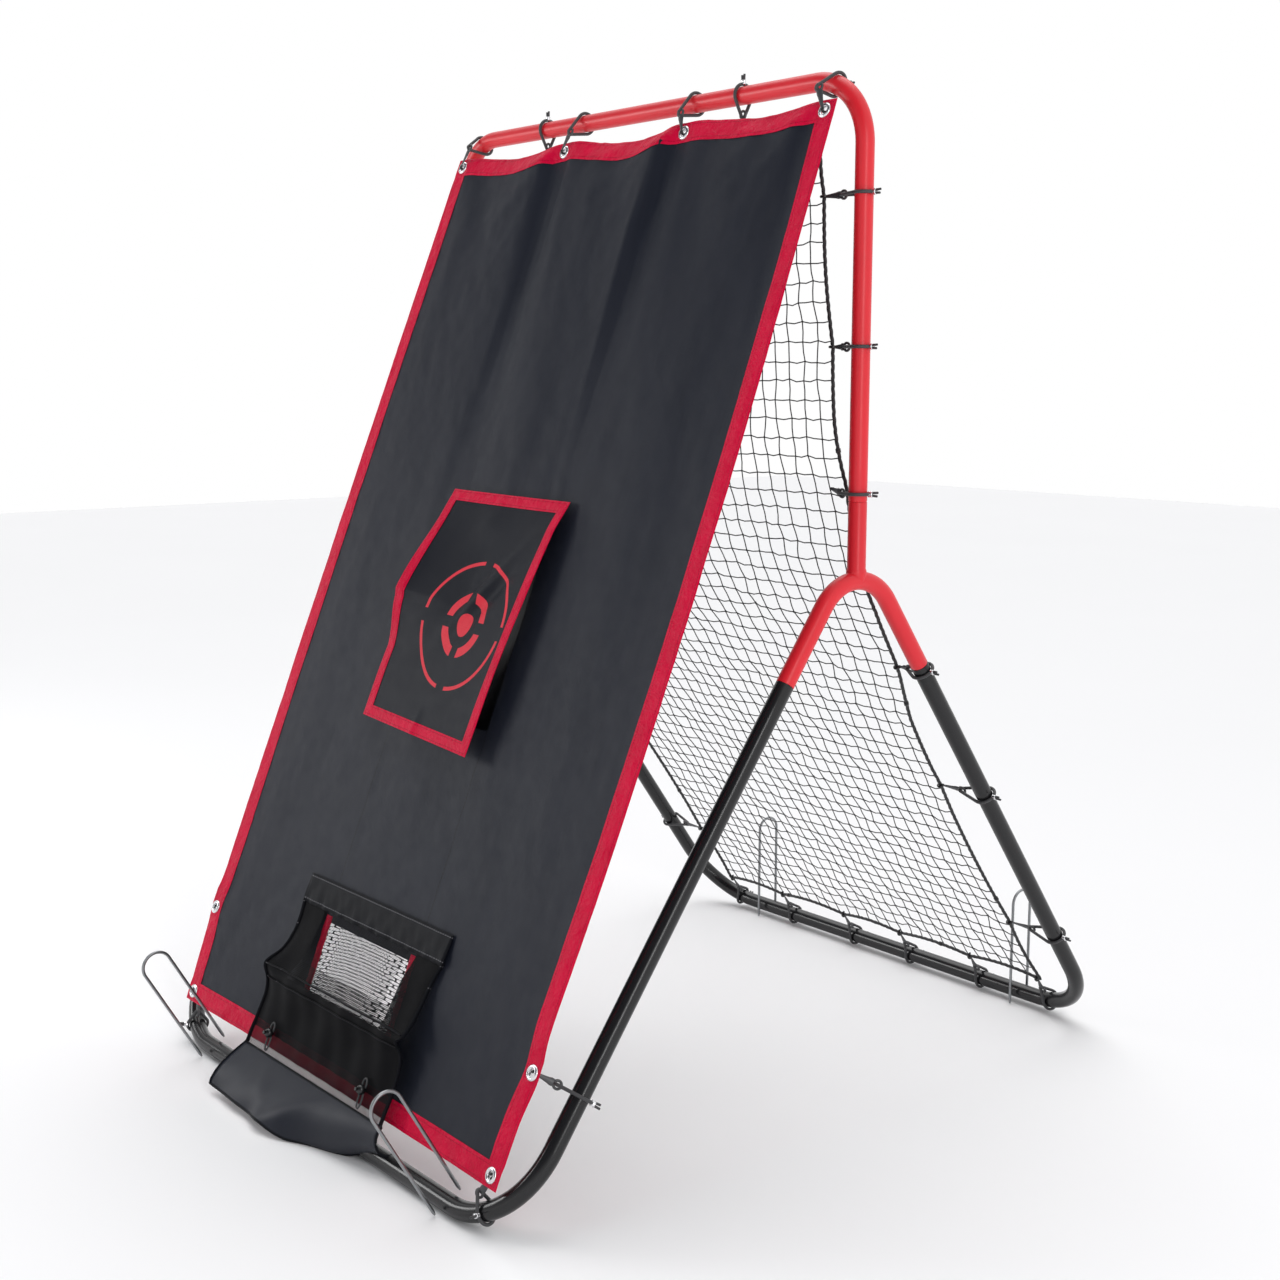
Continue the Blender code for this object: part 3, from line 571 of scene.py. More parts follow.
def tube_end(path, radius, lip=0.0007):
    """Path and radii with a rounded lip at both ends."""
    first, second, last, before = path[0], path[1], path[-1], path[-2]
    ahead, back = (second - first).normalized(), (before - last).normalized()
    full = [first, first + ahead * lip * 0.4, first + ahead * lip * 1.4, *path[1:-1]]
    full += [last + back * lip * 1.4, last + back * lip * 0.4, last]
    radii = [radius - lip, radius - lip * 0.3, radius, *[radius] * (len(path) - 2), radius, radius - lip * 0.3, radius - lip]
    return full, radii


def top_hoop():
    post_foot, post_head = POST_JOINT_Z + GAP, TOP_Z
    places = [(-1, post_foot), (-1, post_head), (1, post_head), (1, post_foot)]
    corners = [ORIGIN + Vector((side * HALF_WIDTH, 0, z)) for side, z in places]
    piece = Piece()
    path, radii = tube_end(filled(rounded_path(corners, TOP_BEND, 24), 0.08), TUBE_R)
    sweep(piece, path, radii, 32, normal=Y)
    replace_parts(piece.make("top_hoop_tube", ["red"], sharp=35), "top_hoop")


def fork(side, side_name):
    ends = [leg_point(side, FRONT_DOWN, LEG_JOINT - GAP), leg_point(side, REAR_DOWN, LEG_JOINT - GAP)]
    path = rounded_path([ends[0], leg_point(side, Z, 0), ends[1]], FORK_BEND, 24)
    apex = max(path, key=lambda point: point.z)
    stub_top = ORIGIN.copy()
    stub_top.x, stub_top.z = apex.x, POST_JOINT_Z - GAP
    piece = Piece()
    full, radii = tube_end(filled(path, 0.06), TUBE_R)
    sweep(piece, full, radii, 32, normal=X)
    heights = [(0.0, TUBE_R), (0.016, TUBE_R)]
    stub = (stub_top - apex).length
    # The weld: the stub's foot flares a little where it meets the bend
    profile = [(-0.004, TUBE_R * 0.98), (0.010, TUBE_R + 0.0012), (0.0155, TUBE_R + 0.0016), (0.0185, TUBE_R + 0.0011)]
    profile += [(0.021, TUBE_R), (stub - 0.001, TUBE_R), (stub - 0.0003, TUBE_R - 0.0003), (stub, TUBE_R - 0.001)]
    profile += [(stub, SPIGOT_R), (stub + SPIGOT_LENGTH, SPIGOT_R)]
    turned(piece, apex, Z, profile, 32)
    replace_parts(piece.make(f"fork_{side_name}_tube", ["red"], sharp=35), f"fork_{side_name}")


def floor_hoop(name, down, rail_z):
    rail_y = math.copysign(HALF_DEPTH, down.y)
    tops = [leg_point(side, down, LEG_JOINT) for side in (-1, 1)]
    bottoms = [ORIGIN + Vector((side * HALF_WIDTH, rail_y, rail_z)) for side in (-1, 1)]
    corners = [tops[0], bottoms[0], bottoms[1], tops[1]]
    piece = Piece()
    path, radii = tube_end(filled(rounded_path(corners, FLOOR_BEND, 24), 0.08), TUBE_R)
    sweep(piece, path, radii, 32, normal=X.cross(down))
    for side in (-1, 1):
        spigot = [leg_point(side, down, LEG_JOINT - SPIGOT_LENGTH), leg_point(side, down, LEG_JOINT + 0.01)]
        sweep(piece, spigot, SPIGOT_R, 24, normal=X.cross(down))
    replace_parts(piece.make(f"{name}_tube", ["black"], sharp=35), name)


def button_hole_shades():
    """Painted shade: a near-black ring round each hole that a spring button stands in, in place of the shade inside the
    hole.
    """
    places = []
    for side, side_name in ((-1, "left"), (1, "right")):
        for down, row in ((FRONT_DOWN, "front"), (REAR_DOWN, "rear")):
            places.append((f"{row}_{side_name}", leg_point(side, down, LEG_JOINT - BUTTON_UP), -side * X))
        post = ORIGIN + Vector((side * HALF_WIDTH, 0, POST_JOINT_Z + BUTTON_UP))
        places.append((f"post_{side_name}", post, Y.copy()))
    for name, centre, outward in places:
        piece = Piece()
        # Painted shade: a thin near-black annulus between the button and the hole's rim
        section = [(TUBE_R - 0.002, 0.0041), (TUBE_R - 0.002, 0.0051), (TUBE_R + 0.0002, 0.0051), (TUBE_R + 0.0002, 0.0041)]
        turned(piece, centre, outward, section, 20, closed=True)
        piece.make(f"button_hole_{name}", ["dark"])


def finish_buttons():
    for name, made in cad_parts.items():
        if "button" in name:
            made.data.materials.clear()
            made.data.materials.append(FINISH["steel"])


# The banner, hung by a cloth simulation


def half_at(down):
    """The banner's half width, on a smooth curve through its top, middle and bottom."""
    t = (down - BANNER_TOP) / (BANNER_BOTTOM - BANNER_TOP)
    bulge = MIDDLE_HALF - (TOP_HALF + BOTTOM_HALF) / 2
    pull = 0.010 * math.exp(-(((down - SIDE_TIE) / 0.045) ** 2))
    return TOP_HALF + (BOTTOM_HALF - TOP_HALF) * t + 4 * bulge * t * (1 - t) + pull


def grommet_places():
    """Node name, place across and place down the banner."""
    places = [(f"grommet_top_{k + 1}", x, 0.068) for k, x in enumerate((-0.535, -0.18, 0.18, 0.535))]
    for side, side_name in ((-1, "left"), (1, "right")):
        places.append((f"grommet_side_{side_name}", side * 0.548, SIDE_TIE))
        places.append((f"grommet_corner_{side_name}", side * 0.525, 1.86))
    return places


def grid_lines(low, high, spacing, exact):
    """Evenly spaced numbers, the nearest ones moved to the exact values."""
    lines = np.linspace(low, high, round((high - low) / spacing) + 1)
    for value in exact:
        lines[np.argmin(abs(lines - value))] = value
    return lines


SPACING = 0.015
CENTRE_HALF = 0.255
CENTRE_LINES = grid_lines(-CENTRE_HALF, CENTRE_HALF, SPACING, [-STRIKE_HALF, -OUTLET_HALF, OUTLET_HALF, STRIKE_HALF])
SIDE_STEPS = np.linspace(0, 1, 22)[1:]
ROWS = grid_lines(BANNER_TOP, BANNER_BOTTOM, SPACING, [*STRIKE_SPAN, *OUTLET_SPAN])


def columns_at(down):
    """Where the cloth grid's columns cross one row."""
    side = CENTRE_HALF + SIDE_STEPS * (half_at(down) - CENTRE_HALF)
    return np.concatenate([-side[::-1], CENTRE_LINES, side])


def top_span(x):
    """Which span between two top grommets x is in, and how far along it, from 0 to 1."""
    stops = [place[1] for place in grommet_places()[:4]]
    k = min(max(sum(x > stop for stop in stops) - 1, 0), 2)
    return k, min(max((x - stops[k]) / (stops[k + 1] - stops[k]), 0.0), 1.0)


def fold_height(x, down):
    """How far the cloth's folds stand in front of its plane: each span fills, then drops back before its grommet."""
    depth = down - BANNER_TOP
    k, p = top_span(x)
    drop = 0.84 + 0.03 * math.sin(7 * depth + 2 * k)
    fill = (p / drop) ** 1.4 if p < drop else max(0.0, 1 - ((p - drop) / 0.07) ** 2)
    deep = (0.019, 0.024, 0.009)[k] * (0.35 + 0.65 * min(1.0, depth / 0.03))
    fold = deep * fill * math.exp(-((depth / 0.50) ** 2))
    ridge = 0.006 * math.exp(-(((x - 0.225 + 0.02 * depth) / 0.022) ** 2) - depth / 0.5)
    ridge += 0.005 * math.exp(-(((x + 0.13 - 0.04 * depth) / 0.025) ** 2) - depth / 0.4)
    wide = 0.0085 * math.cos(2 * math.pi * (x + 0.05 * depth) / 0.37 + 0.6) * math.exp(-depth / 1.8) * min(1, depth / 0.1)
    wide += 0.0055 * math.cos(2 * math.pi * (x - 0.03 * depth) / 0.21 + 2.1) * math.exp(-(((depth - 0.9) / 0.7) ** 2))
    wide *= 1 - 0.6 * math.exp(-((x / 0.22) ** 2) - ((depth - 0.93) / 0.26) ** 2)
    return fold + ridge + wide * (1 - (abs(x) / 0.6) ** 4) + pull_wrinkles(x, down)


def pull_wrinkles(x, down):
    """Small creases that fan out from the side and bottom grommets."""
    height = 0.0
    for _, grommet_x, grommet_down in grommet_places()[4:]:
        across, along = (grommet_x - x) * math.copysign(1, grommet_x), down - grommet_down
        away = math.hypot(across, along)
        if away < 0.3:
            height += 0.0016 * math.sin(9 * math.atan2(along, across)) * min(1, away / 0.03) * math.exp(-away / 0.075)
    return height


def top_sag(x, down):
    """How far the cloth hangs below its cut line between two top grommets."""
    k, p = top_span(x)
    sag = (0.010, 0.013, 0.007)[k] * (math.sin(math.pi * p) + 0.35 * math.sin(2 * math.pi * p - 2.6))
    return max(0.0, sag) * math.exp(-(((down - BANNER_TOP) / 0.28) ** 2))


def hang_banner():
    """The banner's grid of points: folds and slack as sewn, settled from its grommets under gravity."""
    rows, wide = len(ROWS), len(columns_at(ROWS[0]))
    start = [
        on_banner(x, down + top_sag(x, down), BANNER_STAND + fold_height(x, down))
        for down in ROWS
        for x in columns_at(down)
    ]
    begun = np.array([tuple(p) for p in start]).reshape(rows, wide, 3)
    faces = [
        (j * wide + i, j * wide + i + 1, (j + 1) * wide + i + 1, (j + 1) * wide + i)
        for j in range(rows - 1)
        for i in range(wide - 1)
    ]
    mesh = bpy.data.meshes.new("hanging")
    mesh.from_pydata(start, [], faces)
    cloth = bpy.data.objects.new("hanging", mesh)
    bpy.context.scene.collection.objects.link(cloth)
    holds = [on_banner(x, down, BANNER_STAND) for _, x, down in grommet_places()]
    pins = cloth.vertex_groups.new(name="pins")
    held = [k for k, point in enumerate(start) if min((point - hold).length for hold in holds) < 0.020]
    pins.add(held, 1.0, "ADD")
    hang = cloth.modifiers.new("hang", "CLOTH")
    hang.settings.vertex_group_mass = "pins"
    hang.settings.quality = 6
    hang.settings.mass = 0.0015
    hang.settings.tension_stiffness = 40
    hang.settings.compression_stiffness = 10
    hang.settings.shear_stiffness = 6
    hang.settings.bending_stiffness = 0.3
    hang.settings.air_damping = 2.0
    hang.collision_settings.use_collision = False
    scene = bpy.context.scene
    last = 30
    hang.point_cache.frame_end = last
    for number in range(1, last + 1):
        scene.frame_set(number)
    shown = cloth.evaluated_get(bpy.context.evaluated_depsgraph_get())
    hung = np.array([tuple(v.co) for v in shown.data.vertices]).reshape(rows, wide, 3)
    scene.frame_set(1)
    bpy.data.objects.remove(cloth, do_unlink=True)
    return eased(hung, begun)


def eased(hung, start):
    """The hung points, none further than MOST_MOVE from where they started."""
    most = 0.03
    moved = hung - start
    size = np.linalg.norm(moved, axis=2, keepdims=True)
    return start + moved * (most * np.tanh(size / most) / np.maximum(size, 1e-9))


def grid_normals(points):
    down = np.gradient(points, axis=0)
    across = np.gradient(points, axis=1)
    normal = np.cross(down, across)
    return normal / np.linalg.norm(normal, axis=2)[:, :, None]


def on_cloth(x, down, lift):
    """A point lift in front of the hung cloth, by its place across and down the flat banner."""
    row = np.interp(down, ROWS, np.arange(len(ROWS)))
    columns = columns_at(min(max(down, BANNER_TOP), BANNER_BOTTOM))
    column = np.interp(x, columns, np.arange(len(columns)))
    j, i = min(int(row), len(ROWS) - 2), min(int(column), len(columns) - 2)
    a, b = row - j, column - i
    weights = (((1 - a) * (1 - b), j, i), ((1 - a) * b, j, i + 1), (a * (1 - b), j + 1, i), (a * b, j + 1, i + 1))
    point = sum(w * HUNG[p, q] for w, p, q in weights)
    normal = sum(w * NORMALS[p, q] for w, p, q in weights)
    point = Vector(point) + Vector(normal).normalized() * lift
    over = down - min(max(down, BANNER_TOP), BANNER_BOTTOM)
    wide = x - min(max(x, columns[0]), columns[-1])
    return point + BANNER_DOWN * over + X * wide


def punch(piece_object, centres, radius=GROMMET_BORE + 0.002):
    """Cuts a hole through a sheet at each centre, under the grommet's flange."""
    bm = bmesh.new()
    bm.from_mesh(piece_object.data)
    for centre in centres:
        near = [f for f in bm.faces if (f.calc_center_median() - centre).length < 0.022]
        edges = list({edge for face in near for edge in face.edges})
        bmesh.ops.subdivide_edges(bm, edges=edges, cuts=4, use_grid_fill=True)
        gone = [f for f in bm.faces if (f.calc_center_median() - centre).length < radius]
        bmesh.ops.delete(bm, geom=gone, context="FACES")
    bm.to_mesh(piece_object.data)
    bm.free()


def in_opening(x, down):
    if abs(x) < STRIKE_HALF and STRIKE_SPAN[0] < down < STRIKE_SPAN[1]:
        return True
    return abs(x) < OUTLET_HALF and OUTLET_SPAN[0] < down < OUTLET_SPAN[1]


def banner():
    piece = Piece()
    uv_rows = [[(x, down) for x in columns_at(down)] for down in ROWS]

    def keep(j, i):
        columns = columns_at((ROWS[j] + ROWS[j + 1]) / 2)
        return not in_opening((columns[i] + columns[i + 1]) / 2, (ROWS[j] + ROWS[j + 1]) / 2)

    lattice(piece, HUNG.tolist(), uv_rows, keep=keep)
    made = piece.make("banner_cloth", ["banner"], sharp=80)
    punch(made, [on_cloth(x, down, 0) for _, x, down in grommet_places()])
    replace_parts(made, "banner")
    return made


def trim_section(width, thick):
    """(share of the width, lift) round a folded trim, front to back."""
    front = [(1.0, thick * 0.7), (0.96, thick), (0.75, thick), (0.5, thick), (0.25, thick), (0.06, thick)]
    fold = [(0.0, thick * 0.8), (-0.025, 0.0), (0.0, -thick * 0.8)]
    back = [(share, -lift) for share, lift in reversed(front)]
    return [(share * width, lift) for share, lift in front + fold + back]


def folded_trim(piece, outline, inner, section, width, at, pucker):
    """A trim folded over a closed outline. at(place, lift) gives the point; inner is the outline moved in by width."""
    rows, uvs, length = [], [], 0.0
    for k in range(len(outline)):
        out, into = Vector(outline[k]), Vector(inner[k])
        if k:
            length += (out - Vector(outline[k - 1])).length
        row = []
        for share, lift in section:
            place = out + (into - out) * (share / width)
            bulge = pucker(place, length) if 0.1 < share / width < 0.95 else 0.0
            row.append(at(place.x, place.y, lift + math.copysign(bulge, lift)))
        rows.append(row)
        uvs.append([(length, abs(share)) for share, _ in section])
    lattice(piece, rows, uvs)


def outline_points(corners, steps):
    """Places round a closed four-sided outline, corners included, with the first repeated last."""
    points = []
    for k in range(4):
        one, two = corners[k], corners[(k + 1) % 4]
        points += [tuple(np.array(one) + (np.array(two) - np.array(one)) * t / steps) for t in range(steps)]
    return points + [points[0]]


def banner_trim():
    """The red trim, folded over the banner's edge all round and a little puckered by its stitches."""
    top, bottom = BANNER_TOP - 0.0008, BANNER_BOTTOM + 0.0008
    steps = 130
    unit = outline_points([(-1, 0), (1, 0), (1, 1), (-1, 1)], steps)
    outline, inner = [], []
    for side, share in unit:
        down = top + share * (bottom - top)
        outline.append((side * (half_at(down) + 0.0008), down))
        down = top + TRIM + share * (bottom - top - 2 * TRIM)
        inner.append((side * (half_at(down) - TRIM), down))
    phases = chance.uniform(0, 6.28, 4)

    def pucker(place, length):
        ripple = math.sin(length * 95 + phases[0]) + 0.7 * math.sin(length * 151 + place.x * 60 + phases[1])
        return 0.00045 * max(0.0, ripple + 0.5 * math.sin(length * 33 + phases[2]))

    piece = Piece()
    folded_trim(piece, outline, inner, trim_section(TRIM, 0.0011), TRIM, on_cloth, pucker)
    made = piece.make("banner_trim", ["trim"], sharp=50)
    punch(made, [on_cloth(x, down, 0) for _, x, down in grommet_places()])
    return made


def outlet_edges():
    """Red trim down both sides of the banner's ball outlet."""
    piece = Piece()
    for side in (-1, 1):
        rows, uvs = [], []
        for down in np.linspace(OUTLET_SPAN[0] - 0.012, OUTLET_SPAN[1] + 0.004, 24):
            section = [(0.014, 0.0012), (0.007, 0.0018), (-0.003, 0.0014), (-0.004, 0), (-0.003, -0.0012), (0.014, -0.0012)]
            rows.append([on_cloth(side * (OUTLET_HALF + a), down, lift) for a, lift in section])
            uvs.append([(down, abs(a)) for a, _ in section])
        lattice(piece, rows, uvs)
    piece.make("outlet_trim", ["trim"])


def grommet(name, x, down):
    """A rolled eyelet: domed flange in front, flat washer behind."""
    piece = Piece()
    centre = on_cloth(x, down, 0)
    ahead = (on_cloth(x, down, 0.001) - centre).normalized()
    bore, rim = GROMMET_BORE, GROMMET_R
    section = [(0.0012, rim), (0.0030, rim - 0.0005), (0.0040, rim - 0.0021), (0.0044, bore + 0.0030)]
    section += [(0.0040, bore + 0.0012), (0.0026, bore + 0.0001), (-0.0014, bore), (-0.0034, bore + 0.0008)]
    section += [(-0.0040, bore + 0.0026), (-0.0030, rim - 0.0006), (-0.0012, rim)]
    turned(piece, centre, ahead, section, 28, closed=True)
    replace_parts(piece.make(f"{name}_eyelet", ["steel"], sharp=70), name)


# Target flap


def smooth_through(t, places):
    """A smooth curve through (t, value) places, level at each end of a run."""
    for (t0, v0), (t1, v1) in zip(places, places[1:]):
        if t <= t1:
            share = min(max((t - t0) / (t1 - t0), 0.0), 1.0)
            eased_share = 0.5 * share + 0.5 * share * share * (3 - 2 * share)
            return v0 + (v1 - v0) * eased_share
    return places[-1][1]


def panel_place(x, along, lift):
    """A point on the hinged target flap: pinched at the middle of its left edge, with a crease in to its centre."""
    u, t = x / PANEL_HALF, along / PANEL_LENGTH
    x = x * 0.97 - PANEL_SKEW * t
    along *= 0.965 + 0.02 * (u + 1)
    seam = on_banner(0.012, PANEL_TOP + 0.016, BANNER_STAND + 0.004)
    spin = Matrix.Rotation(-PANEL_LEAN, 3, X)
    down, out = spin @ BANNER_DOWN, spin @ BANNER_OUT
    left = smooth_through(t, [(0, 0.004), (0.09, 0.008), (0.47, 0.036), (0.50, 0.031), (0.70, 0.004), (1.0, 0.0)])
    right = smooth_through(t, [(0, 0.0), (0.12, 0.007), (0.5, 0.008), (1.0, 0.002)])
    to_left, to_right = max(0.0, -u), max(0.0, u)
    sag = 0.006 * math.sin(math.pi * t)
    height = left * to_left**1.2 + right * to_right**1.5 + sag
    across_fold = u - 0.50 + 1.9 * (t - 0.26)
    height += 0.008 * math.exp(-((across_fold / 0.11) ** 2)) * math.exp(-(((t - 0.40) / 0.16) ** 2))
    height -= 0.006 * math.exp(-(((across_fold - 0.2) / 0.12) ** 2)) * math.exp(-(((t - 0.42) / 0.14) ** 2))
    height += 0.004 * math.exp(-(((u + 0.1) / 0.25) ** 2)) * math.exp(-(((t - 0.12) / 0.08) ** 2))
    height += 0.0055 * math.exp(-(((u + 0.02) / 0.05) ** 2)) * max(0.0, t - 0.88) / 0.12
    height += 0.0012 * math.sin(7 * u + 9 * t) * math.sin(math.pi * t)
    if t < 0.06:
        height = max(height, -0.001)
    place = seam + X * x + down * along + out * (height + lift)
    middle = seam + down * (PANEL_LENGTH / 2)
    return middle + Matrix.Rotation(PANEL_TWIST, 3, BANNER_OUT) @ (place - middle)


def strike_panel():
    piece = Piece()
    wide, tall = 61, 81
    rows, uvs = [], []
    for t in np.linspace(0, 1, tall):
        across = [PANEL_HALF * u for u in np.linspace(-1, 1, wide)]
        rows.append([panel_place(x, t * PANEL_LENGTH, 0) for x in across])
        uvs.append([(x, t * PANEL_LENGTH) for x in across])
    lattice(piece, rows, uvs)
    made = piece.make("strike_panel_cloth", ["target"], "strike_panel", sharp=80)
    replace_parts(made, "strike_panel")
    width = 0.023
    corners = [(-PANEL_HALF, 0), (PANEL_HALF, 0), (PANEL_HALF, PANEL_LENGTH), (-PANEL_HALF, PANEL_LENGTH)]
    inside = [(math.copysign(PANEL_HALF - width, x), abs(y - width)) for x, y in corners]
    outline, inner = outline_points(corners, 70), outline_points(inside, 70)

    def pucker(place, length):
        return 0.0005 * max(0.0, math.sin(length * 120) + 0.8 * math.sin(length * 47 + 1))

    trim = Piece()
    folded_trim(trim, outline, inner, trim_section(width, 0.001), width, panel_place, pucker)
    bound = trim.make("strike_panel_trim", ["panel_trim"], "strike_panel", sharp=50)


# Ball return


def pocket_place(u, t, lift=0.0):
    """A point on the mesh front of the ball return, u across from -1 to 1 and t down from 0 to 1."""
    turns = [0.0, 0.12, 0.30, 0.46, 0.52, 0.66, 0.84, 1.0]
    down = float(np.interp(t, turns, [1.598, 1.628, 1.678, 1.728, 1.742, 1.785, 1.838, FLAP_SEAM[0]]))
    stand = float(np.interp(t, turns, [0.0225, 0.0250, 0.0330, 0.0480, 0.0500, 0.0400, 0.0380, FLAP_SEAM[1] - 0.008]))
    edge = max(0.0, abs(u) - 0.80) / 0.20
    base = BANNER_STAND + 0.0035
    fold = math.exp(-(((t - 0.47) / 0.07) ** 2))
    stand = base + (stand - base) * (1 - 0.6 * edge**1.6 * max(0.0, 1 - t * 1.1) * (1 - fold))
    stand += 0.008 * fold * max(0.0, -u) ** 3 + 0.004 * math.exp(-(((t - 0.56) / 0.05) ** 2)) * (1 - edge)
    notch = math.exp(-(((t - 0.53) / 0.035) ** 2))
    wide = 1 - 0.05 * math.sin(math.pi * min(1, t * 2.1)) * (1 - fold) - 0.075 * notch * max(0.0, u)
    ripple = 0.0022 * math.sin(9 * u + 11 * t) * math.sin(math.pi * t) + 0.0012 * math.sin(23 * u - 6 * t)
    x = POCKET_HALF * u * wide
    cloth_down = min(down, BANNER_BOTTOM)
    rise = (on_cloth(x, cloth_down, 0) - on_banner(x, cloth_down, BANNER_STAND)).dot(BANNER_OUT)
    sew = max(0.0, 1 - t * 1.5)
    return on_banner(x, down, stand + ripple * min(1, 4 * t) + rise * sew + lift)


def return_pocket():
    """The collar, the mesh front and its bound edges."""
    wide, tall = 61, 53
    rows = [[pocket_place(u, t) for u in np.linspace(-1, 1, wide)] for t in np.linspace(0, 1, tall)]
    uvs = [[(POCKET_HALF * u, t * POCKET_LENGTH) for u in np.linspace(-1, 1, wide)] for t in np.linspace(0, 1, tall)]
    front = Piece()
    lattice(front, rows, uvs)
    mesh = front.make("return_mesh", ["fine_mesh"], sharp=80)
    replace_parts(mesh, "return_pocket")

    collar = Piece()
    rows, uvs = [], []
    for a in np.linspace(0, 1, 9):
        down = 1.548 + 0.055 * a
        row = []
        for u in np.linspace(-1, 1, 61):
            crumple = 0.0012 * math.sin(31 * u + 3 * a) + 0.0009 * math.sin(57 * u - 5 * a)
            row.append(on_cloth(POCKET_HALF * 1.005 * u, down, 0.0035 + 0.0030 * math.sin(0.5 * math.pi * a) + crumple * a))
        rows.append(row)
        uvs.append([(POCKET_HALF * u, 0.055 * a) for u in np.linspace(-1, 1, 61)])
    lattice(collar, rows, uvs)
    made = collar.make("return_collar", ["collar"], sharp=80)
    thicken(made, 0.0012)

    binding = Piece()
    for side in (-1, 1):
        path = [pocket_place(side * 0.995, t, 0.0004) for t in np.linspace(0.0, 1, 60)]
        sweep(binding, path, 0.0042, 10, normal=BANNER_OUT, oval=0.35)
    for t, half in ((0.465, 0.0036), (0.555, 0.0028)):
        seam = [pocket_place(u, t, 0.0012) for u in np.linspace(-0.98, 0.98, 60)]
        sweep(binding, seam, half, 8, normal=BANNER_OUT, oval=0.45)
    bound = binding.make("return_binding", ["collar"])


def thicken(made, thickness):
    """Gives a sheet both faces and a rim."""
    solid = made.modifiers.new("thick", "SOLIDIFY")
    solid.thickness = thickness
    solid.offset = 0


def flap_place(u, t, lift=0.0):
    """A point on the apron: its left tip is pulled straight forwards and its right end rolls under."""
    place = on_banner(FLAP_HALF * u * (1 + 0.03 * t * max(0.0, -u)), FLAP_SEAM[0], FLAP_SEAM[1] - 0.008)
    roll = 1.9 * max(0.0, u + 0.25) ** 1.4 / 1.25**1.4
    length = FLAP_LENGTH * (1 - 0.06 * max(0.0, -u) - 0.34 * max(0.0, u) ** 1.5)
    steps = 10
    slope = FLAP_SLOPE + 0.12 + 0.15 * max(0.0, u)
    for k in range(steps):
        slope += (roll + 0.35) * t / steps
        ahead = Vector((0, -math.cos(slope), -math.sin(slope)))
        place = place + ahead * (length * t / steps)
    up = ahead.cross(X)
    swell = 0.005 * math.sin(math.pi * t) + 0.003 * math.sin(5.2 * u + 1.5) * t + 0.0035 * math.sin(11 * u + 2 * t) * t
    swell += 0.007 * math.exp(-(((u - 0.30 + 0.5 * t) / 0.13) ** 2)) + 0.004 * math.exp(-(((u + 0.55 - 0.3 * t) / 0.10) ** 2))
    place = place + up * (swell * t + lift)
    place.z = max(place.z, 0.0035)
    return place


def return_flap():
    piece = Piece()
    wide, tall = 61, 25
    rows = [[flap_place(u, t) for u in np.linspace(-1, 1, wide)] for t in np.linspace(0, 1, tall)]
    uvs = [[(FLAP_HALF * u, FLAP_LENGTH * t) for u in np.linspace(-1, 1, wide)] for t in np.linspace(0, 1, tall)]
    lattice(piece, rows, uvs)
    made = piece.make("return_flap_cloth", ["plain"], "return_flap", sharp=80)
    thicken(made, 0.001)
    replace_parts(made, "return_flap")
    hem = Piece()
    edge = [flap_place(-1, t) for t in np.linspace(0, 1, 14)]
    edge += [flap_place(u, 1) for u in np.linspace(-1, 1, 60)[1:]]
    edge += [flap_place(1, t) for t in np.linspace(1, 0, 14)[1:]]
    sweep(hem, edge, 0.0026, 8, normal=Z, oval=0.45)
    sweep(hem, [flap_place(u, 0.0) for u in np.linspace(-1, 1, 50)], 0.0034, 8, normal=Z, oval=0.5)
    bound = hem.make("return_flap_hem", ["collar"], "return_flap")


def toggles():
    """Ball toggles, each with a short pull of cord and the elastic loop that it holds."""
    for name, u in (("return_toggle_left", -0.69), ("return_toggle_right", 0.69)):
        centre = pocket_place(u, 0.86, 0.010)
        radius = 0.0088
        angles = np.linspace(0.12, math.pi - 0.12, 13)
        profile = [(-radius * math.cos(a), max(0.0016, radius * math.sin(a))) for a in angles]
        piece = Piece()
        turned(piece, centre, BANNER_OUT, profile, 20)
        sweep(piece, [centre + BANNER_OUT * 0.0075, centre + BANNER_OUT * 0.0120], 0.0032, 12, slot=0)
        for reach, way in ((0.016, 1), (0.010, -1)):
            loop = []
            for k in range(20):
                angle = 2 * math.pi * k / 20
                drop = way * reach * (1 + math.cos(angle))
                loop.append(centre - BANNER_OUT * 0.004 + BANNER_DOWN * drop + X * (0.006 * math.sin(angle)))
            sweep(piece, loop, 0.0016, 8, closed=True, slot=1)
        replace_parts(piece.make(f"{name}_ball", ["black_plastic", "cord"]), name)


def chute_place(u, down):
    """A point on the channel behind the banner; u runs from one sewn edge, round the back, to the other."""
    back_lines = [0.775, 0.82, 1.0, 1.4, 1.70, 1.80, 1.81]
    stands = [0.015, -0.080, -0.084, -0.085, -0.083, -0.022, 0.015]
    depth = BANNER_STAND - float(np.interp(down, back_lines, stands)) - 0.002
    turn = math.pi * (u + 1) / 2
    square = 0.34
    x = -math.copysign(abs(math.cos(turn)) ** square, math.cos(turn)) * CHUTE_HALF
    into = abs(math.sin(turn)) ** square * depth
    ripple = 0.0025 * math.sin(5 * u + 17 * down) * abs(math.sin(turn))
    rise = (on_cloth(x, down, 0) - on_banner(x, down, BANNER_STAND)).dot(BANNER_OUT)
    return on_banner(x, down, BANNER_STAND - 0.002 - into + ripple * 0.6 + rise * (1 - into / 0.12))


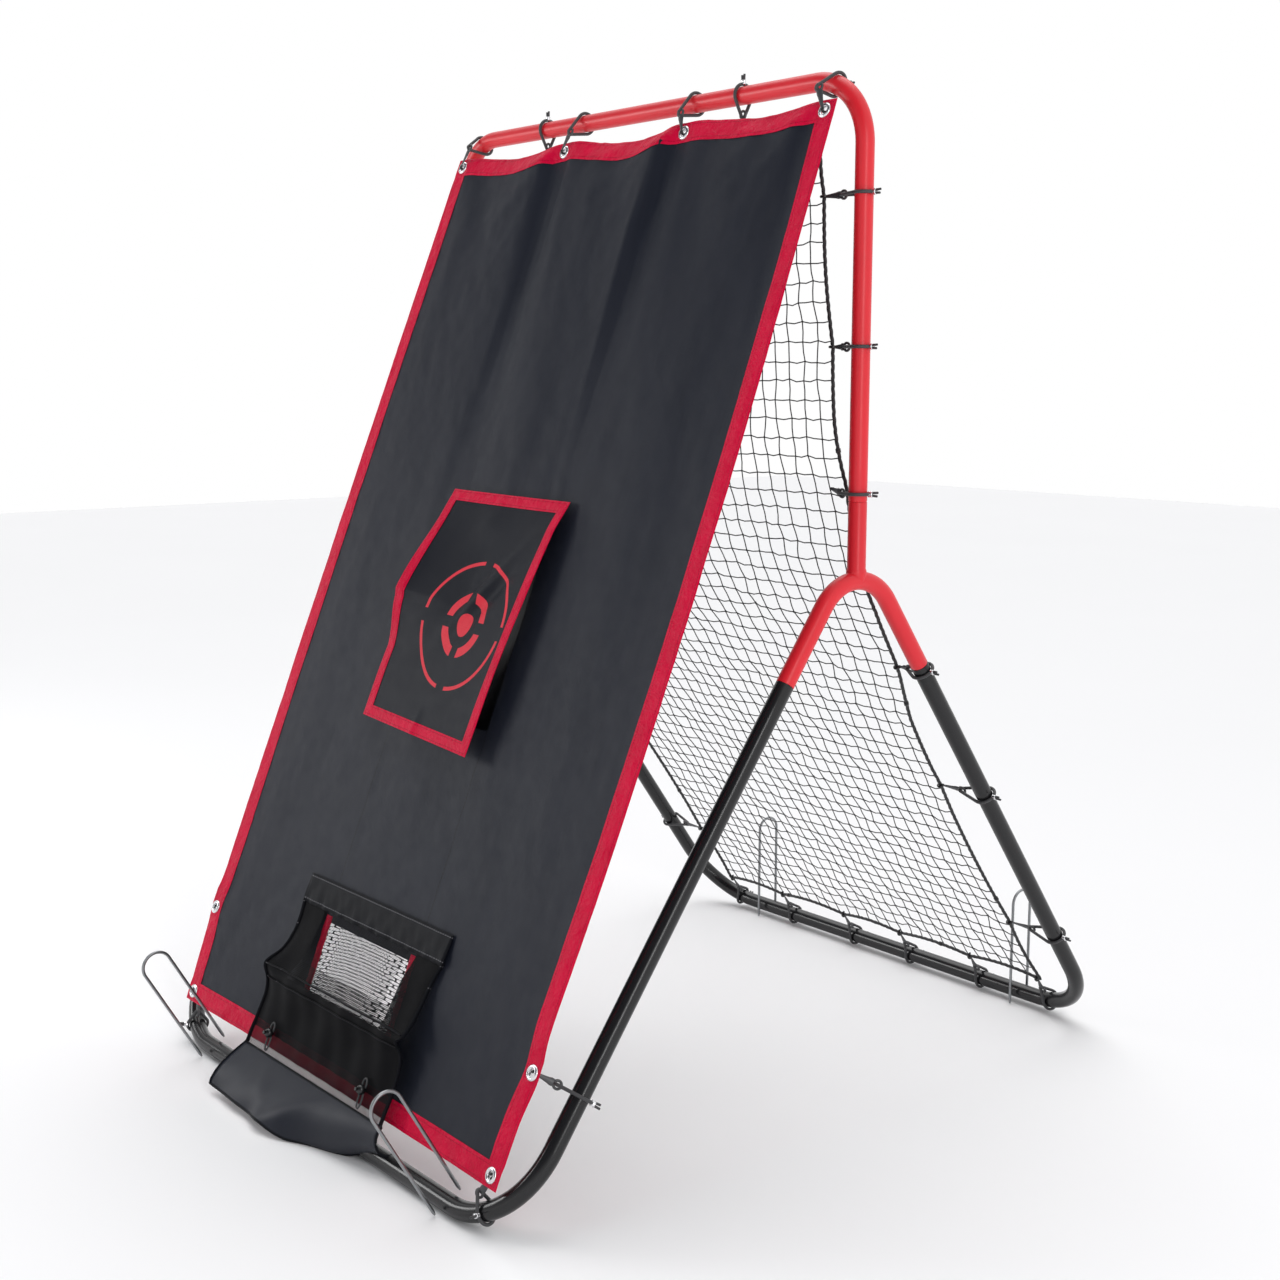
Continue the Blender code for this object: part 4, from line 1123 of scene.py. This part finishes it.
def ball_chute():
    """The channel: cloth down to the outlet, then mesh, sewn to the banner's back."""
    across = np.linspace(-1, 1, 57)
    change = 1.60
    for name, span, finish in (("chute_cloth", (0.777, change), "plain"), ("chute_mesh", (change, 1.809), "wide_mesh")):
        downs = np.linspace(*span, 60 if finish == "plain" else 22)
        piece = Piece()
        rows = [[chute_place(u, down) for u in across] for down in downs]
        uvs = [[(0.25 * u, down) for u in across] for down in downs]
        lattice(piece, rows, uvs)
        made = piece.make(name, [finish], sharp=80)
        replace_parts(made, "ball_chute")


# Net


def net_rows():
    """Each row of the net's edge: (distance down the net, half width)."""
    upper = [(NET_TOP_Z, 0.488), (1.62, 0.495), (1.5, 0.508), (1.37, 0.522), (1.25, 0.535), (1.14, 0.55)]
    lower = [(0.17, 0.548), (0.33, 0.522), (0.44, 0.497), (0.57, 0.482), (0.70, 0.476), (0.92, 0.473), (1.187, 0.478)]
    rows = [(NET_TOP_Z - z, half) for z, half in upper]
    rows.append((NET_BEND, 0.556))
    return rows + [(NET_BEND + t, half) for t, half in lower]


def net_line(t):
    """A point on the net's middle line, t metres down it: straight, but for a rounded bend where the legs meet."""
    past = t - NET_BEND
    corner = ORIGIN + Z * LEGS_MEET_Z
    if abs(past) >= NET_ROUND:
        return corner + (REAR_DOWN if past > 0 else -Z) * past
    share = (past + NET_ROUND) / (2 * NET_ROUND)
    return corner + Z * (NET_ROUND * (1 - share) ** 2) + REAR_DOWN * (NET_ROUND * share**2)


NET_BEND = NET_TOP_Z - LEGS_MEET_Z
NET_ROUND = 0.20
NET_ROWS = net_rows()
NET_LENGTH = NET_ROWS[-1][0]
NET_TIES = [NET_TOP_Z - z for z in (1.622, 1.371, 1.13)] + [NET_TOP_Z - LEGS_MEET_Z + t for t in (0.30, 0.615, 1.01)]


def net_place(u, t):
    """A point on the net: u across from -1 to 1, t metres down it. Its edge bows in between the ties."""
    distances = [row[0] for row in NET_ROWS]
    middle = net_line(t)
    half = float(np.interp(t, distances, [row[1] for row in NET_ROWS]))
    stops = [0.0, *NET_TIES, NET_LENGTH]
    k = int(np.clip(np.searchsorted(stops, t) - 1, 0, len(stops) - 2))
    share = (t - stops[k]) / (stops[k + 1] - stops[k])
    bow = 0.007 * math.sin(math.pi * min(max(share, 0.0), 1.0))
    bottom_ties = np.array([-1.0, -0.607, -0.182, 0.182, 0.607, 1.0])
    near = int(np.clip(np.searchsorted(bottom_ties, u) - 1, 0, 4))
    span = (u - bottom_ties[near]) / (bottom_ties[near + 1] - bottom_ties[near])
    lift = 0.010 * math.sin(math.pi * min(max(span, 0.0), 1.0)) * max(0.0, (t - NET_LENGTH + 0.25) / 0.25)
    down = REAR_DOWN if t > NET_TOP_Z - LEGS_MEET_Z else -Z
    return middle + X * (u * (half - bow * abs(u))) - down * lift


def knotted_net():
    """Square cells of twine, slack enough that each cell's sides bend a little, and a knot at each crossing."""
    columns, rows = 30, 57
    us = np.linspace(-1, 1, columns + 1)
    ts = np.linspace(0.0, NET_LENGTH, rows + 1)
    crossings = np.array([[tuple(net_place(u, t)) for u in us] for t in ts])
    shake = chance.normal(0, 0.0013, crossings.shape)
    shake[:, :, 1] *= 1.5
    shake[[0, -1]] = 0
    shake[:, [0, -1]] = 0
    crossings += shake
    piece = Piece()
    radius, slack = 0.00115, 0.0026
    for j in range(rows + 1):
        path = []
        for i in range(columns):
            middle = (crossings[j, i] + crossings[j, i + 1]) / 2
            middle[2] -= slack * chance.uniform(0.3, 1.3)
            path += [crossings[j, i], middle]
        sweep(piece, [*path, crossings[j, columns]], radius, 5, caps=False)
    for i in range(columns + 1):
        path = []
        for j in range(rows):
            middle = (crossings[j, i] + crossings[j + 1, i]) / 2
            middle[0] += 0.6 * slack * chance.uniform(-1, 1)
            path += [crossings[j, i], middle]
        sweep(piece, [*path, crossings[rows, i]], radius, 5, caps=False)
    corners = np.array([(1, 0, 0), (0, 0, 1), (-1, 0, 0), (0, 0, -1), (0, 1, 0), (0, -1, 0)])
    faces = [(0, 1, 4), (1, 2, 4), (2, 3, 4), (3, 0, 4), (1, 0, 5), (2, 1, 5), (3, 2, 5), (0, 3, 5)]
    for point in crossings.reshape(-1, 3):
        size = 0.0026 * chance.uniform(0.85, 1.2)
        piece.add(point + corners * size, faces, [((0, 0), (0.002, 0), (0, 0.002))] * 8)
    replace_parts(piece.make("net_twine", ["twine"], sharp=180), "net")


def border_rope():
    """The three-strand rope round the net."""
    down = np.linspace(0, NET_LENGTH, 260)
    across = np.linspace(-1, 1, 150)
    path = [net_place(1, t) for t in down] + [net_place(u, NET_LENGTH) for u in across[::-1][1:]]
    path += [net_place(-1, t) for t in down[::-1][1:]] + [net_place(u, 0.0) for u in across[1:-1]]
    path = filled([*path, path[0]], 0.0045)[:-1]

    def strands(angle, length):
        return 0.84 + 0.16 * np.cos(3 * (angle - 2 * np.pi * length / 0.045))

    piece = Piece()
    sweep(piece, path, ROPE_R + 0.0002, 12, closed=True, shape=strands)
    for k in range(0, len(path), 150):
        sweep(piece, [path[k], path[(k + 2) % len(path)]], ROPE_R + 0.0011, 12)
    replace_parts(piece.make("net_rope", ["twine"], sharp=180), "net_border_rope")


# Bungees


def cord_path(centre, toward, across, eye_distance):
    """A closed line round the tube and through the hook's eye."""
    contact = math.acos((WRAP_R - EYE_R) / eye_distance)
    eye = centre + toward * eye_distance
    points = []
    for middle, radius, first, last, steps in (
        (centre, WRAP_R, contact, 2 * math.pi - contact, 34),
        (eye, EYE_R, -contact, contact, 12),
    ):
        for k in range(steps + 1):
            angle = first + (last - first) * k / steps
            points.append(middle + (toward * math.cos(angle) + across * math.sin(angle)) * radius)
    return points


def crimp(piece, centre, outward, axis):
    """The metal crimp, pressed flat at its middle, and the two cut cord ends past it."""
    near = WRAP_R - 0.001
    steps = [(0.0, 0.0042), (0.0006, 0.0052), (0.002, 0.0055), (0.0035, 0.0050), (0.005, 0.0050), (0.0065, 0.0055)]
    steps += [(0.0078, 0.0052), (0.0084, 0.0042)]
    path = [centre + outward * (near + height) for height, _ in steps]
    sweep(piece, path, [r for _, r in steps], 16, normal=axis, slot=2, oval=0.78)
    for side in (-1, 1):
        offset = axis * (side * 0.0022)
        tip = centre + outward * (near + 0.0175 + side * 0.0008) + offset * 1.35
        sweep(piece, [centre + outward * (near + 0.006) + offset, tip], [0.0022, 0.0020], 10, slot=0)


def hook(piece, eye, tip, width_way, grip):
    """A flat moulded hook: a ring at the cord, a tapered arm, and a curled tip through what it holds."""
    along = (tip - eye).normalized()
    width_way = (width_way - along * width_way.dot(along)).normalized()
    face = along.cross(width_way)
    ring = []
    for k in range(24):
        angle = 2 * math.pi * k / 24
        ring.append(eye + (along * math.cos(angle) + width_way * math.sin(angle)) * 0.0066)
    sweep(piece, ring, 0.0023, 10, closed=True, normal=face, slot=1)
    length = (tip - eye).length
    arm = [(0.0075, 0.0062), (0.012, 0.0064), (0.45 * length, 0.0050), (0.8 * length, 0.0033), (length, 0.0026)]
    path = [eye + along * a for a, _ in arm]
    sweep(piece, path, [w for _, w in arm], 12, normal=width_way, slot=1, oval=0.36)
    sweep(piece, grip, np.linspace(0.0029, 0.0022, len(grip)), 10, slot=3)


def peg_grip(tip, peg):
    """The hook's end, bent from the arm through a grommet and back up behind it."""
    sink = peg.normalized()
    reach = peg.length
    down = BANNER_DOWN
    points = [tip - sink * 0.001]
    for k in range(10):
        angle = math.pi * k / 9
        side = down * (0.003 * math.sin(angle))
        points.append(tip + sink * (reach * 0.5 * (1 - math.cos(angle))) + side * (1 if sink.dot(BANNER_OUT) < 0 else -1))
    return points


def rope_grip(edge, toward_tube, normal):
    """The hook's end, curled round the net's border rope."""
    points = []
    radius = ROPE_R + 0.0019
    for k in range(15):
        angle = math.radians(-20 + 240 * k / 14)
        points.append(edge + (toward_tube * math.cos(angle) + normal * math.sin(angle)) * radius)
    return points


def bungee(name, centre, axis, eye, tip, grip, crimp_way=None):
    """One bungee. Its cord goes round the tube whose centre line passes through centre along axis."""
    eye = eye - axis * (eye - centre).dot(axis)
    toward = (eye - centre).normalized()
    piece = Piece()
    path = cord_path(centre, toward, axis.cross(toward), (eye - centre).length)
    path = filled([*path, path[0]], 0.003)[:-1]
    sweep(piece, path, CORD_R, 12, closed=True, normal=axis)
    crimp(piece, centre, crimp_way or -toward, axis)
    hook(piece, eye, tip, axis, grip)
    made = piece.make(f"{name}_cord", ["cord", "hook", "steel", "black_plastic"], sharp=60)
    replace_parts(made, name)


def hoop_at(corners, bend, x):
    """The point and direction of a hoop's centre line at x, on its bar or in the bend next to it."""
    middle = (corners[1] + corners[2]) / 2
    up = (corners[0] - corners[1]).normalized()
    past = abs(x) - (HALF_WIDTH - bend)
    if past <= 0:
        return middle + X * x, X.copy()
    angle = math.asin(past / bend)
    rise = bend * (1 - math.cos(angle))
    return middle + X * x + up * rise, X * math.cos(angle) + up * math.copysign(math.sin(angle), x)


def hoop_corners(down, rail_y, rail_z):
    tops = [leg_point(side, down, LEG_JOINT) for side in (-1, 1)]
    bottoms = [ORIGIN + Vector((side * HALF_WIDTH, rail_y, rail_z)) for side in (-1, 1)]
    return [tops[0], *bottoms, tops[1]]


def top_bar_corners():
    places = ((-1, POST_JOINT_Z), (-1, TOP_Z), (1, TOP_Z), (1, POST_JOINT_Z))
    return [ORIGIN + Vector((x * HALF_WIDTH, 0, z)) for x, z in places]


def perpendicular(vector, axis):
    return (vector - axis * vector.dot(axis)).normalized()


def along_leg(side, down, point):
    top = leg_point(side, down, 0)
    return top + down * (point - top).dot(down)


def banner_bungees():
    through = 0.0095
    front, behind = BANNER_STAND + 0.0065, BANNER_STAND - 0.0065
    tops = grommet_places()[:4]
    for k, bar_x in enumerate((-TOP_TIE_X, -0.165, 0.165, TOP_TIE_X)):
        _, x, down = tops[k]
        centre, axis = hoop_at(top_bar_corners(), TOP_BEND, bar_x)
        eye = on_banner(bar_x + 0.25 * (x - bar_x), 0.032, 0.028)
        tip = on_banner(x, down, front)
        bungee(f"bungee_banner_top_{k + 1}", centre, axis, eye, tip, peg_grip(tip, -BANNER_OUT * through))
    floor = hoop_corners(FRONT_DOWN, -HALF_DEPTH, FRONT_RAIL_Z)
    for side, side_name in ((-1, "left"), (1, "right")):
        centre, axis = hoop_at(floor, FLOOR_BEND, side * FRONT_TIE_X)
        eye = on_banner(side * 0.517, 1.887, 0.0075)
        tip = on_banner(side * 0.525, 1.86, behind)
        grip = peg_grip(tip, BANNER_OUT * through)
        bungee(f"bungee_banner_corner_{side_name}", centre, axis, eye, tip, grip, perpendicular(-Y, axis))
        tip = on_banner(side * 0.548, SIDE_TIE, behind)
        centre = along_leg(side, FRONT_DOWN, tip)
        eye = centre + (tip - centre) * 0.52
        grip = peg_grip(tip, BANNER_OUT * through)
        bungee(f"bungee_banner_side_{side_name}", centre, FRONT_DOWN, eye, tip, grip)


def net_bungee(name, centre, axis, edge, eye_share, normal, crimp_way=None):
    eye = centre + (edge - centre) * eye_share
    back = (eye - edge).normalized()
    tip = edge + back * (ROPE_R + 0.0008)
    bungee(name, centre, axis, eye, tip, rope_grip(edge, back, normal), crimp_way)


def net_bungees():
    for k, x in enumerate((-0.29, 0.29)):
        edge = ORIGIN + Vector((x, 0, NET_TOP_Z))
        net_bungee(f"bungee_net_top_{k + 1}", ORIGIN + Vector((x, 0, TOP_Z)), X, edge, 0.5, -Y)
    for side, side_name in ((-1, "left"), (1, "right")):
        for k, (z, half) in enumerate(((1.622, 0.495), (1.371, 0.522))):
            edge = ORIGIN + Vector((side * half, 0, z))
            centre = ORIGIN + Vector((side * HALF_WIDTH, 0, z))
            net_bungee(f"bungee_post_{side_name}_{k + 1}", centre, Z, edge, 0.5, -Y)
        low = 1.125
        centre = ORIGIN + Vector((side * HALF_WIDTH, 0, low))
        eye = ORIGIN + Vector((side * 0.56, -0.01, low))
        tip = ORIGIN + Vector((side * 0.531, -0.0065, low + 0.006))
        curl = [tip + X * (-side * 0.004 * math.sin(a)) + Y * (0.0045 * (1 - math.cos(a))) for a in np.linspace(0, 2.6, 9)]
        bungee(f"bungee_post_{side_name}_3", centre, Z, eye, tip, curl)
        slope = X.cross(REAR_DOWN)
        for k, (distance, half) in enumerate(((0.30, 0.5275), (0.615, 0.48), (1.01, 0.4745))):
            centre = leg_point(side, REAR_DOWN, distance)
            edge = centre - X * (side * (HALF_WIDTH - half))
            net_bungee(f"bungee_leg_{side_name}_{k + 1}", centre, REAR_DOWN, edge, 0.5, -slope)
    floor = hoop_corners(REAR_DOWN, HALF_DEPTH, REAR_RAIL_Z)
    bottom = net_line(NET_LENGTH)
    for k, x in enumerate((-REAR_TIE_X, -0.29, -0.087, 0.087, 0.29, REAR_TIE_X)):
        centre, axis = hoop_at(floor, FLOOR_BEND, x)
        edge = bottom + X * (x - math.copysign(0.006, x) * (abs(x) > 0.4))
        slope = X.cross(REAR_DOWN)
        net_bungee(f"bungee_rear_rail_{k + 1}", centre, axis, edge, 0.46, -slope, perpendicular(Y, axis))


# Ground stakes


def ground_stake(name, foot, lean, lift):
    """One galvanised wire stake over a floor rail, its two ends cut to a point."""
    up = Vector((0, -math.sin(lean), math.cos(lean)))
    across = X.cross(up)
    places = [(-1, 0), (-1, STAKE_LENGTH + STAKE_HALF), (1, STAKE_LENGTH + STAKE_HALF), (1, 0)]
    corners = [foot + up * (lift + b) + across * (STAKE_HALF * a) for a, b in places]
    path = filled(rounded_path(corners, STAKE_HALF - 0.0001, 18), 0.05)
    first, last = path[0], path[-1]
    full = [first, first + up * 0.007, *path[1:-1], last + up * 0.007, last]
    radii = [STAKE_R * 0.55, STAKE_R, *[STAKE_R] * (len(path) - 2), STAKE_R, STAKE_R * 0.55]
    piece = Piece()
    sweep(piece, full, radii, 14, normal=X)
    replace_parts(piece.make(f"{name}_wire", ["zinc"], name), name)


def ground_stakes():
    lean = FRONT_STAKE_LEAN
    front_lift = ((STAKE_HALF + STAKE_R) * math.sin(lean) - FRONT_RAIL_Z + GAP) / math.cos(lean)
    for side, side_name in ((-1, "left"), (1, "right")):
        foot = ORIGIN + Vector((side * FRONT_STAKE_X, -HALF_DEPTH, FRONT_RAIL_Z))
        ground_stake(f"stake_front_{side_name}", foot, lean, front_lift)
        foot = ORIGIN + Vector((side * REAR_STAKE_X, HALF_DEPTH, REAR_RAIL_Z))
        ground_stake(f"stake_rear_{side_name}", foot, 0.0, GAP - REAR_RAIL_Z)


# Camera, floor and light


def camera():
    sin, cos = math.sin, math.cos
    ahead = Vector((-sin(CAMERA_YAW) * cos(CAMERA_PITCH), cos(CAMERA_YAW) * cos(CAMERA_PITCH), sin(CAMERA_PITCH)))
    right = Vector((cos(CAMERA_YAW), sin(CAMERA_YAW), 0))
    up = right.cross(ahead)
    rolled_right = right * cos(CAMERA_ROLL) + up * sin(CAMERA_ROLL)
    rolled_up = up * cos(CAMERA_ROLL) - right * sin(CAMERA_ROLL)
    lens = bpy.data.cameras.new("camera")
    lens.lens = CAMERA_LENS
    lens.sensor_width = 36
    made = bpy.data.objects.new("camera", lens)
    bpy.context.scene.collection.objects.link(made)
    turn = Matrix((rolled_right, rolled_up, -ahead)).transposed().to_4x4()
    made.matrix_world = Matrix.Translation(CAMERA_PLACE) @ turn
    bpy.context.scene.camera = made


def floor():
    reach = 14.0
    corners = [(-reach, -reach, -0.001), (reach, -reach, -0.001), (reach, reach, -0.001), (-reach, reach, -0.001)]
    mesh = bpy.data.meshes.new("floor")
    mesh.from_pydata(corners, [], [(0, 1, 2, 3)])
    made = bpy.data.objects.new("floor", mesh)
    bpy.context.scene.collection.objects.link(made)
    s = Shader("floor_paint", (0.9, 0.9, 0.9), 0.8)
    s.set("Base Color", s.mix(s.noise(0.6), (0.89, 0.89, 0.90), (0.91, 0.91, 0.92)))
    s.set("Specular IOR Level", 0.1)
    mesh.materials.append(s.material)


def area_light(name, place, aim, size, power):
    light = bpy.data.lights.new(name, "AREA")
    light.shape = "RECTANGLE"
    light.size, light.size_y = size
    light.energy = power
    made = bpy.data.objects.new(name, light)
    bpy.context.scene.collection.objects.link(made)
    made.location = place
    made.rotation_euler = (Vector(aim) - Vector(place)).to_track_quat("-Z", "Y").to_euler()


def lights():
    """A white studio whose upper front is dark, with a low soft lamp on the left and even light from above."""
    world = bpy.data.worlds.new("studio")
    bpy.context.scene.world = world
    world.use_nodes = True
    tree = world.node_tree
    place = tree.nodes.new("ShaderNodeTexCoord")
    split = tree.nodes.new("ShaderNodeSeparateXYZ")
    tree.links.new(place.outputs["Generated"], split.inputs[0])
    both = tree.nodes.new("ShaderNodeMath")
    both.operation = "MULTIPLY"
    for slot, low, high in ((2, 0.02, 0.42), (1, -0.05, -0.42)):
        share = tree.nodes.new("ShaderNodeMapRange")
        share.inputs["From Min"].default_value = low
        share.inputs["From Max"].default_value = high
        tree.links.new(split.outputs[slot], share.inputs["Value"])
        tree.links.new(share.outputs[0], both.inputs[slot - 1])
    tone = tree.nodes.new("ShaderNodeMix")
    tone.data_type = "RGBA"
    tone.inputs[6].default_value = (1.0, 1.0, 1.0, 1)
    tone.inputs[7].default_value = (0.08, 0.085, 0.10, 1)
    tree.links.new(both.outputs[0], tone.inputs[0])
    tree.links.new(tone.outputs[2], tree.nodes["Background"].inputs[0])
    tree.nodes["Background"].inputs[1].default_value = 1.0
    area_light("key", (-3.3, -3.2, 1.9), (0, -0.2, 0.8), (1.6, 1.2), 46)
    area_light("fill", (3.6, -1.4, 1.9), (0, 0, 0.9), (0.5, 2.4), 30)
    sun = bpy.data.lights.new("overhead", "SUN")
    sun.energy = 1.1
    sun.angle = 0.9
    made = bpy.data.objects.new("overhead", sun)
    bpy.context.scene.collection.objects.link(made)
    made.rotation_euler = (math.radians(-12), math.radians(-22), 0)
    bpy.context.scene.view_settings.view_transform = "Standard"


camera()
floor()
lights()
FINISH = make_finishes()
top_hoop()
fork(-1, "left")
fork(1, "right")
floor_hoop("front_floor_hoop", FRONT_DOWN, FRONT_RAIL_Z)
floor_hoop("rear_floor_hoop", REAR_DOWN, REAR_RAIL_Z)
button_hole_shades()
finish_buttons()
HUNG = hang_banner()
NORMALS = grid_normals(HUNG)
banner()
banner_trim()
outlet_edges()
for place in grommet_places():
    grommet(*place)
strike_panel()
ball_chute()
return_pocket()
return_flap()
toggles()
knotted_net()
border_rope()
banner_bungees()
net_bungees()
ground_stakes()
